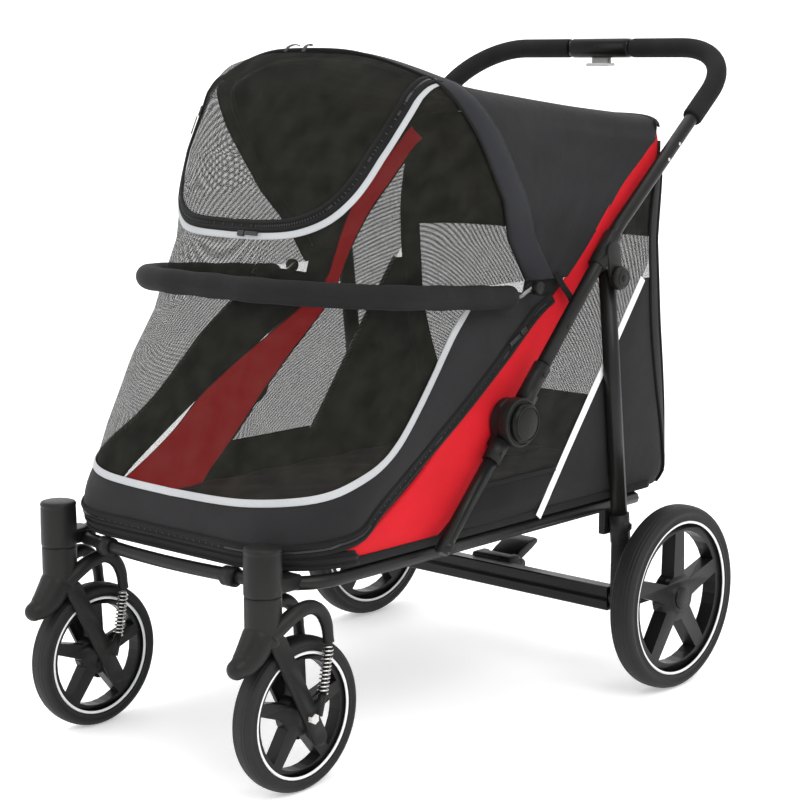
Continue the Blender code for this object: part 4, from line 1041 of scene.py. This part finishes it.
BAND_STEPS = 8
band_share = np.clip(0.0500 / np.maximum(np.linalg.norm(rear_even - front_even, axis=1), 0.08), 0.0, 0.62)
steps = np.linspace(-0.03, 1.0, BAND_STEPS)[None, :, None] * band_share[:, None, None]
band_points = front_even[:, None] * (1.0 - steps) + rear_even[:, None] * steps
band_normal = unit(np.cross(np.gradient(band_points, axis=0), np.gradient(band_points, axis=1)))
band_full = 0.0022 + 0.0032 * np.sin(pi * np.linspace(0.0, 1.0, BAND_STEPS))
band_points = band_points + band_normal * band_full[None, :, None]
band_v = np.broadcast_to(np.linspace(0.0, 0.05, BAND_STEPS)[None, :], (ACROSS, BAND_STEPS))
band_u = np.broadcast_to(np.linspace(-0.52, 0.52, ACROSS)[:, None], (ACROSS, BAND_STEPS))
band = surface_piece("canopy_band", band_points, band_u, band_v, HEM_CLOTH, thickness=0.002)
declare(band, band_points)
ribbon("band_front_cord", band_points[:, 0], band_normal[:, 0], 0.0045, 0.0045, DARK, sharp=1.0)
stitches("band_stitches", band_points[:, -1] + band_normal[:, -1] * 0.0006, band_normal[:, -1])
ribbon("band_seam", band_points[:, -1], band_normal[:, -1], 0.0022, 0.0014, THREAD)
edge_strip = canopy_points[:, -3:]
edge_normal = unit(np.cross(np.gradient(edge_strip, axis=0), np.gradient(edge_strip, axis=1)))[:, 1]
flat_part = canopy_points[:, -1, 2] > 0.872
ribbon("canopy_rear_hem", canopy_points[flat_part, -1], edge_normal[flat_part], 0.012, 0.0036, CHARCOAL)
bow_line = band_points[4:-4, 3] - band_normal[4:-4, 3] * 0.0105
bow_wire = rope("canopy_bow_rod", bow_line, 0.0042, PAINT, "base_frame", 12, (0.0, 1.0, 0.35))
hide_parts("canopy_bow")
print("canopy", canopy_points.shape)

# %% [markdown]
# The floor pad is a quilted cushion. It starts as a closed slab over the cabin's floor outline and its top
# is pushed up between the quilting lines, which run as a diamond of sine waves. A thin dark cloth below it
# closes the cabin's floor.

# %% Floor pad
pad_low, pad_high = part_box("floor_pad")
PAD_POINTS, FLOOR_RINGS, FLOOR_CLOTH_Z = 120, 12, 0.3062


def pad_outline(count, inset):
    """The cabin's floor outline drawn in by an inset, sampled evenly round the whole cabin."""
    half = float(round_at(at(REAR_LINE, 0.315) - 1e-4, 0.315)) + 0.16
    p, _ = proud(wrap, np.linspace(-half, half, count), np.full(count, 0.315), -inset)
    return p[:, :2]


ring = pad_outline(PAD_POINTS, 0.015)
centre = ring.mean(0)
shares = np.linspace(0.02, 1.0, 34) ** 0.8
top_xy = centre + (ring - centre)[:, None] * shares[None, :, None]
edge_drop = np.clip((shares - 0.90) / 0.10, 0.0, 1.0) ** 2
QUILT_HIGH, QUILT_TURN = 0.0035, 28.0
quilt = QUILT_HIGH * (np.sin(QUILT_TURN * (top_xy[..., 0] + top_xy[..., 1]))
                      * np.sin(QUILT_TURN * (top_xy[..., 0] - top_xy[..., 1]))) ** 2
top_z = pad_high[2] - 0.003 + quilt - (pad_high[2] - pad_low[2] - 0.004) * 0.55 * edge_drop[None, :]
under_z = np.full_like(top_z, pad_low[2] + 0.001)
pad_grid = np.concatenate([np.concatenate([top_xy, top_z[..., None]], -1),
                           np.concatenate([top_xy, under_z[..., None]], -1)[:, ::-1]], 1)
faces = grid_faces(pad_grid.shape[0], pad_grid.shape[1], wrap_m=True)
pad = mesh_object("pad_cushion", pad_grid, faces)
put_uv(pad, pad_grid[..., 0], pad_grid[..., 1], faces)
rim_count = pad_grid.shape[1]
close_up(pad, (range(0, PAD_POINTS * rim_count, rim_count),
               range(rim_count - 1, PAD_POINTS * rim_count, rim_count)[::-1]))
floor_ring = pad_outline(PAD_POINTS, 0.0035)
floor_xy = centre + (floor_ring - centre)[:, None] * np.linspace(0.02, 1.0, FLOOR_RINGS)[None, :, None]
floor_grid = np.concatenate([floor_xy, np.full(floor_xy.shape[:2] + (1,), FLOOR_CLOTH_Z)], -1)
floor_faces = grid_faces(PAD_POINTS, FLOOR_RINGS, wrap_m=True)
floor_cloth = mesh_object("floor_cloth", floor_grid, floor_faces)
put_uv(floor_cloth, floor_grid[..., 0], floor_grid[..., 1], floor_faces)
close_up(floor_cloth, (range(0, PAD_POINTS * FLOOR_RINGS, FLOOR_RINGS),))
thicken(finish_piece(floor_cloth, DARK, "base_frame"), 0.0012)
finish_piece(pad, PAD_CLOTH, "base_frame")
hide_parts("floor_pad")
print("pad", [round(v, 3) for v in pad_high])

# %% [markdown]
# The bumper bar is a steel wire with a padded canvas sleeve. The sleeve is a tube along the bar whose
# radius swells a little between its gathered ends, with a seam along its back. From each end a short
# cranked length of the wire shows, on its way to the lug.

# %% Bumper sleeve
BUMPER_X, BUMPER_R, BUMPER_CORNER = 0.2415, 0.0178, 0.180
BUMPER_FRONT, BUMPER_END = -0.370, -0.004
BUMPER_LEVEL, BUMPER_DROP, BUMPER_SLOPE = 0.6455, 0.009, 0.082
BUMPER_RINGS = 220


def bumper_path(count):
    """Half of the bar: straight across the front, a quarter circle, then back along the side."""
    turn = np.linspace(0.0, pi / 2.0, 40)
    flat = BUMPER_X - BUMPER_CORNER
    x = np.concatenate([np.linspace(0.0, flat, 12)[:-1], flat + BUMPER_CORNER * np.sin(turn), [BUMPER_X]])
    y = np.concatenate([np.full(11, BUMPER_FRONT), BUMPER_FRONT + BUMPER_CORNER * (1.0 - np.cos(turn)), [BUMPER_END]])
    half = np.stack([x, y, BUMPER_LEVEL - BUMPER_SLOPE * (y + 0.012) - BUMPER_DROP], -1)
    whole = np.vstack([half[::-1] * [-1.0, 1.0, 1.0], half[1:]])
    return resample(whole, count)


bar = bumper_path(BUMPER_RINGS)
place = np.linspace(0.0, 1.0, BUMPER_RINGS)
ends = np.minimum(place, 1.0 - place) * 1.25
radius = (BUMPER_R * np.clip(0.93 + ends / 0.006 * 0.07, 0.0, 1.0) + 0.0004 * np.sin(90.0 * place)
          - 0.0006 * np.abs(np.sin(37.0 * place)))
sleeve = rope("bumper_padding", bar, radius, BAR_CLOTH, "bumper", 28)
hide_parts("bumper_sleeve")
bar_ahead = way(bar)
bar_side = unit(np.cross(bar_ahead, [0.0, 0.0, 1.0]))
inner = bar - np.sign((bar_side * (bar - [0.0, -0.1, 0.65])).sum(1, keepdims=True)) * bar_side * (BUMPER_R - 0.0006)
ribbon("bumper_seam", inner[4:-4], unit(inner - bar)[4:-4], 0.004, 0.0018, DARK, "bumper")
for side_name, side in (("left", 1.0), ("right", -1.0)):
    level = BUMPER_LEVEL - BUMPER_DROP
    crank = smooth([(0.2415, -0.030, level), (0.2415, 0.000, level - 0.001), (0.2418, 0.018, level - 0.001),
                    (0.2432, 0.028, level + 0.004), (0.2450, 0.037, 0.6445), (0.2465, 0.0468, 0.6500)], 40)
    wire = rope("crank_wire_" + side_name, crank * [side, 1.0, 1.0], 0.0035, WIRE_STEEL, "bumper", 14,
                (side, 0.0, 0.1))
    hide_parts("bumper_wire_" + side_name)
print("bumper sleeve", len(bar), "rings")

# %% [markdown]
# Each wheel has a white line moulded round the tyre's wall. A tyre is a section turned about the axle:
# a rounded tread with two shallow grooves, straight walls and a lip at the rim.


# %% Wheels
def turned(name, section, centre, material, body, count=120, closed=True):
    """A section of (x, radius) points turned about an axle along x. With closed=False it ends on the axle."""
    turn = np.arange(count) * 2.0 * pi / count
    x, r = section[:, 0], section[:, 1]
    points = np.stack(np.broadcast_arrays(
        centre[0] + x[None, :],
        centre[1] + r[None, :] * np.cos(turn)[:, None],
        centre[2] + r[None, :] * np.sin(turn)[:, None]), -1)
    faces = grid_faces(count, len(section), True, closed)
    piece = mesh_object(name, points, faces)
    close_up(piece, merge=1e-5)
    piece.data.shade_smooth()
    return finish_piece(piece, material, body)


def tyre_section(half, outer, inner):
    """A closed (x, radius) outline: tread arc, two grooves near its edges, walls with a shallow hollow."""
    turn = np.linspace(-pi / 2.0, pi / 2.0, 61)
    wall = outer - 0.55 * half
    x = half * np.sign(np.sin(turn)) * np.abs(np.sin(turn)) ** 0.8
    r = wall + (outer - wall) * np.abs(np.cos(turn)) ** 0.75
    for groove in (-0.62, -0.36, 0.36, 0.62):
        r = r - 0.0009 * np.exp(-(((x / half - groove) / 0.035) ** 2))
    side_r = np.linspace(wall, inner, 14)[1:]
    dip = 0.0018 * np.sin(pi * (wall - side_r) / (wall - inner))
    right = np.stack([half - dip, side_r], -1)
    left = np.stack([-half + dip, side_r], -1)[::-1]
    return np.vstack([np.stack([x, r], -1), right, left])


RIM_RADIUS = {"rear": 0.1225, "front": 0.0890}
LINE_RADIUS = {"rear": 0.1197, "front": 0.0860}
for wheel in ("rear_left", "rear_right", "front_left", "front_right"):
    end, side_name = wheel.split("_")
    node, body = f"{end}_tyre_{side_name}", f"{end}_wheel_{side_name}"
    side = 1.0 if side_name == "left" else -1.0
    low, high = np.array(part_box(node)[0]), np.array(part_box(node)[1])
    middle, half, outer = (low + high) / 2.0, (high[0] - low[0]) / 2.0, (high[2] - low[2]) / 2.0
    section = tyre_section(half, outer, RIM_RADIUS[end])
    tyre = turned("tyre_" + wheel, section, middle, RUBBER, body, 144)
    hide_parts(node)
    for tag, face in (("out", 1.0), ("in", -1.0)):
        turn = np.linspace(0.0, 2.0 * pi, 17)[:-1]
        section = np.stack([side * face * (half - 0.0028) + 0.0016 * np.cos(turn),
                            LINE_RADIUS[end] + 0.0022 * np.sin(turn)], -1)
        turned(f"ring_{wheel}_{tag}", section, middle, RING_WHITE, body, 144)
print("4 tyres, 8 rings")

# %% [markdown]
# Suspension springs are wire wound on a helix: going round by an angle while rising in proportion, about a
# plain core.

# %% Springs
SPRING_TOP, SPRING_LOW = np.array([-0.383, 0.200]), np.array([-0.3955, 0.134])
COIL_TURNS, COIL_R, COIL_WIRE_R, CORE_R = 12.0, 0.0066, 0.00125, 0.0041
for side_name, side in (("left", 1.0), ("right", -1.0)):
    for tag in ("outer", "inner"):
        node = f"spring_{tag}_{side_name}"
        low, high = np.array(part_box(node)[0]), np.array(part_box(node)[1])
        centre_x = (low[0] + high[0]) / 2.0
        lean = np.array([0.0, *(SPRING_TOP - SPRING_LOW)])
        length = np.linalg.norm(lean)
        axis = lean / length
        base = np.array([centre_x, *SPRING_LOW])
        across = np.array([1.0, 0.0, 0.0])
        third = np.cross(axis, across)
        k = np.linspace(0.0, 1.0, 520)
        turn = 2.0 * pi * COIL_TURNS * k
        path = base + axis * (length * (0.02 + 0.96 * k))[:, None] + COIL_R * (
            across * np.cos(turn)[:, None] + third * np.sin(turn)[:, None])
        ahead = way(path)
        radial = unit(across * np.cos(turn)[:, None] + third * np.sin(turn)[:, None])
        other = np.cross(ahead, radial)
        around = np.arange(8) * 2.0 * pi / 8
        points = path[:, None] + COIL_WIRE_R * (radial[:, None] * np.cos(around)[None, :, None]
                                                + other[:, None] * np.sin(around)[None, :, None])
        spring = tube_piece(f"spring_coil_{tag}_{side_name}", points, STEEL, "castor_" + side_name)
        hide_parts(node)
        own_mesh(spring)
        core = base + axis * (length * np.linspace(0.01, 0.99, 12))[:, None]
        core = rope(f"spring_core_{tag}_{side_name}", core, CORE_R, PLASTIC, "castor_" + side_name,
                    16, (1.0, 0.0, 0.0))
        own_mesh(core)
print("4 springs")

# %% [markdown]
# Each castor's housing is a round column that runs down into a rounded toe, with a curved arm to the top
# of each spring. Column and toe are swept circles: radii along a path, ending in a quarter circle.

# %% Castor housings
CASTOR_X, CASTOR_Y = 0.210, -0.478


def closing(radius, steps=7):
    """How a swept circle of this radius closes off: distance onward and radius left, a quarter circle."""
    k = np.linspace(0.0, pi / 2.0, steps)
    return radius * np.sin(k), radius * np.cos(k)


for side_name, side in (("left", 1.0), ("right", -1.0)):
    x = side * CASTOR_X
    onward, left = closing(0.0060)
    levels = np.concatenate([[0.2816, 0.2816, 0.2806, 0.2780, 0.2500, 0.2190], 0.2190 - onward * 0.9])
    radii = np.concatenate([[0.0, 0.0242, 0.0250, 0.0252, 0.0251, 0.0249], 0.0189 + left])
    column = np.stack([np.full(len(levels), x), np.full(len(levels), CASTOR_Y),
                       levels - np.arange(len(levels)) * 1e-6], -1)
    column = np.vstack([column, [[x, CASTOR_Y, levels[-1] - 0.0004]]])
    shell = rope("castor_column_" + side_name, column, np.concatenate([radii, [0.0005]]), PLASTIC,
                 body_of["castor_swivel_" + side_name], 40, (0.0, 1.0, 0.0))
    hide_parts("castor_swivel_" + side_name)
    line = smooth([(-0.474, 0.246), (-0.486, 0.226), (-0.501, 0.2075), (-0.515, 0.1965), (-0.5265, 0.1925)], 30)
    size = np.interp(line[:, 0], [-0.5265, -0.515, -0.501, -0.486, -0.474], [0.0138, 0.0178, 0.0212, 0.0238, 0.0215])
    onward, left = closing(0.0138)
    heading = unit(line[-1] - line[-2])
    line = np.vstack([line, line[-1] + heading * onward[1:, None]])
    size = np.concatenate([size, np.maximum(left[1:], 0.0003)])
    toe = np.column_stack([np.full(len(line), x), line])
    rope("castor_toe_" + side_name, toe, size, PLASTIC, body_of["castor_swivel_" + side_name], 36,
         (1.0, 0.0, 0.0))
    for tag, across in (("outer", 1.0), ("inner", -1.0)):
        arm = smooth([(0.0150, -0.480, 0.2290), (0.0205, -0.461, 0.2440), (0.0240, -0.440, 0.2555),
                      (0.0262, -0.417, 0.2590), (0.0272, -0.398, 0.2490), (0.0275, -0.3870, 0.2300),
                      (0.0275, -0.3830, 0.2045)], 60)
        arm[:, 0] = x + across * side * arm[:, 0]
        thick = np.interp(np.linspace(0.0, 1.0, 60), [0.0, 0.35, 0.75, 0.93, 1.0],
                          [0.0115, 0.0106, 0.0090, 0.0076, 0.0080])
        rope(f"castor_arm_{tag}_{side_name}", arm, thick, PLASTIC, body_of["castor_swivel_" + side_name],
             20, (1.0, 0.0, 0.0))
print("castor housings on")

# %% [markdown]
# The frame's solids come as loose triangles, so a round tube shades in flat strips. Each solid that no other
# piece stands for gets a copy with its corners merged, shaded smooth except at real edges. It stands
# exactly where the solid does.

# %% Smooth shading for the hard parts
STOOD_FOR = {"cabin_body", "mesh_hood", "canopy", "floor_pad", "canopy_bow", "bumper_sleeve", "handle_tube"}
STOOD_FOR_WORDS = ("tyre", "spring", "foam", "bumper_wire", "castor_swivel")


def smooth_copy(node):
    """A merged, smooth-shaded copy of a solid, in the solid's own place."""
    mesh = frame["nodes"][node].data.copy()
    tidy = bmesh.new()
    tidy.from_mesh(mesh)
    bmesh.ops.remove_doubles(tidy, verts=tidy.verts, dist=2e-6)
    tidy.to_mesh(mesh)
    tidy.free()
    mesh.shade_smooth()
    mesh.set_sharp_from_angle(angle=radians(36.0))
    piece = bpy.data.objects.new(node + "_part", mesh)
    bpy.context.scene.collection.objects.link(piece)
    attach(piece, body_of[node])
    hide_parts(node)
    return piece


hard = [node for node in frame["nodes"]
        if node not in STOOD_FOR and not any(word in node for word in STOOD_FOR_WORDS)]
for node in hard:
    smooth_copy(node)
print(len(hard), "parts shaded")

# %% [markdown]
# The handle is one long bent tube with foam over its top. A bend is an arc that touches both straights,
# so its start lies radius over tangent of half the corner's angle before the corner.


# %% Handle tube and foam
def bent(corners, radius, steps=16):
    """A path through corners, each corner replaced by an arc of the given radius."""
    corners = [np.array(c, float) for c in corners]
    path = [corners[0]]
    for before, here, after in zip(corners, corners[1:], corners[2:]):
        a, b = unit(before - here), unit(after - here)
        half = np.arccos(np.clip(a @ b, -1.0, 1.0)) / 2.0
        middle = here + unit(a + b) * radius / np.sin(half)
        start, end = here + a * radius / np.tan(half) - middle, here + b * radius / np.tan(half) - middle
        swing = np.arccos(np.clip(unit(start) @ unit(end), -1.0, 1.0))
        side = unit(end - start * (start @ end) / radius**2) * radius
        k = np.linspace(0.0, swing, steps)[:, None]
        path.extend(middle + start * np.cos(k) + side * np.sin(k))
    return np.vstack(path + [corners[-1]])


SIDE_X, TUBE_R, FOAM_R, BEND_R = 0.272, 0.0105, 0.0158, 0.11
TUBE_UP = (0.0, -0.635, 0.772)
FOAM_RINGS = 120
HUB_AT, BEND_AT, BAR_AT = np.array([-0.036, 0.462]), np.array([0.215, 0.727]), np.array([0.5395, 0.994])
rise_way, slope_way = unit(BEND_AT - HUB_AT), unit(BAR_AT - BEND_AT)
tube_start = HUB_AT + rise_way * 0.1003
handle = bent([(SIDE_X, *tube_start), (SIDE_X, *BEND_AT), (SIDE_X, *BAR_AT),
               (-SIDE_X, *BAR_AT), (-SIDE_X, *BEND_AT), (-SIDE_X, *tube_start)], BEND_R)
handle_piece = rope("handle_bar", handle, TUBE_R, PAINT, "handle_frame", 28, TUBE_UP)
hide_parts("handle_tube")
for side_name, side in (("left", 1.0), ("right", -1.0)):
    low_end = BAR_AT - slope_way * 0.172
    foam_bend = bent([(side * 0.0640, *BAR_AT), (side * SIDE_X, *BAR_AT), (side * SIDE_X, *low_end)], BEND_R)
    foam_path = resample(foam_bend, FOAM_RINGS)
    share = np.linspace(0.0, 1.0, FOAM_RINGS)
    swell = FOAM_R - 0.0012 * np.exp(-((np.minimum(share, 1.0 - share) / 0.006) ** 2))
    foam = rope("foam_sleeve_" + side_name, foam_path, swell, FOAM, "handle_frame", 28, TUBE_UP)
    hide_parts("foam_grip_" + side_name)
print("handle", len(handle), "points")

# %% [markdown]
# Small hardware: domed rivets and push buttons on the tubes, a raised ring on each hub cap, zip pulls and
# the webbing loop that ties the cabin to the frame. All are tiny turned or swept pieces.


# %% Rivets, buttons and rings
def stud(name, centre, side, radius, height, material, body):
    """A domed head on an axle along x: flat base, straight wall, rounded top."""
    k = np.linspace(0.0, pi / 2.0, 6)
    x = np.concatenate([[0.0, 0.0], height * (0.4 + 0.6 * np.sin(k))])
    r = np.concatenate([[0.0, radius], radius * np.cos(k) ** 0.6])
    r[-1] = 0.0
    return turned(name, np.stack([side * x, r], -1), centre, material, body, 20, closed=False)


KNOB_AT = (0.1925, 0.6520)
for side_name, side in (("left", 1.0), ("right", -1.0)):
    outer_face = side * (SIDE_X + TUBE_R - 0.0006)
    for index, y in enumerate((0.332, 0.360)):
        z = BEND_AT[1] + (y - BEND_AT[0]) * slope_way[1] / slope_way[0]
        stud(f"height_button_{side_name}_{index}", (outer_face, y, z), side, 0.0026, 0.0014, STEEL, "handle_frame")
    for tag, move, out in (("collar", 0.086, 0.2848), ("tube", 0.172, 0.2819)):
        y, z = HUB_AT + rise_way * move
        stud(f"rivet_{tag}_{side_name}", (side * out, y, z), side, 0.0042, 0.0018, PLASTIC, "handle_frame")
    y, z = HUB_AT + rise_way * 0.318
    stud("rivet_bracket_" + side_name, (side * 0.2855, y, z), side, 0.0036, 0.0016, STEEL, "handle_frame")
    stud("knob_screw_" + side_name, (side * 0.3015, *KNOB_AT), side, 0.0058, 0.0016, GLOSS, "handle_frame")
    y, z = HUB_AT - rise_way * 0.058
    stud("rivet_lower_" + side_name, (side * 0.2851, y, z), side, 0.0042, 0.0018, PLASTIC, "base_frame")
    turn = np.linspace(0.0, 2.0 * pi, 13)[:-1]
    for tag, ring_r, body, x, y, z, thick in (
            ("hub", 0.0245, "handle_frame", 0.3008, *HUB_AT, 0.0014),
            ("hub_rim", 0.0318, "handle_frame", 0.2915, *HUB_AT, 0.0012),
            ("knob", 0.0125, "handle_frame", 0.3012, *KNOB_AT, 0.0010)):
        section = np.stack([side * (x + thick * np.cos(turn)), ring_r + thick * np.sin(turn)], -1)
        turned(f"ring_{tag}_{side_name}", section, (0.0, y, z), GLOSS, body, 64)
print("hardware on")


# %% Zip pulls and loops
def zip_pull(name, s, z, surface, lift, ahead_s, ahead_z, body="base_frame"):
    """A slider and its tab: two short tapes laid one on the other along a direction on the surface."""
    k = np.linspace(0.0, 1.0, 8)
    for tag, start, length, width, thick, out in (("slider", -0.3, 0.012, 0.0085, 0.0042, 0.0),
                                                  ("tab", 0.5, 0.024, 0.0062, 0.0018, 0.0026)):
        path, normal = proud(surface, s + ahead_s * length * (k + start), z + ahead_z * length * (k + start),
                             lift + out)
        ribbon(f"{name}_{tag}", path, normal, width, thick, ZIP, body, sharp=0.7)


zip_pull("flap_pull", 0.020, 0.7352, hood, 0.0060, 1.0, 0.0)
zip_pull("flap_pull_top", -0.188, 0.900, hood, 0.0060, 0.25, -1.0)
door_end = zip_half[-6]
zip_pull("door_pull", float(door_end[0]), float(door_end[1]), wrap, 0.0062, -0.82, -0.50)
for side_name, side in (("left", 1.0), ("right", -1.0)):
    loop = smooth([(0.2370, 0.110, 0.662), (0.2450, 0.113, 0.646), (0.2555, 0.119, 0.628),
                   (0.2600, 0.127, 0.608)], 24)
    facing = np.tile([side * 0.9, -0.1, 0.4], (24, 1))
    ribbon("tie_loop_" + side_name, loop * [side, 1.0, 1.0], facing, 0.013, 0.0022, DARK)
for tag, x in (("a", 0.012), ("b", -0.012)):
    path = smooth([(x, -0.176, 0.9945), (x * 1.2, -0.184, 0.9955), (x * 1.4, -0.193, 0.9925),
                   (x * 1.5, -0.199, 0.986)], 12)
    ribbon("crown_pull_" + tag, path, np.tile([0.0, -0.4, 0.9], (12, 1)), 0.0065, 0.0020, ZIP)
print("pulls and loops on")
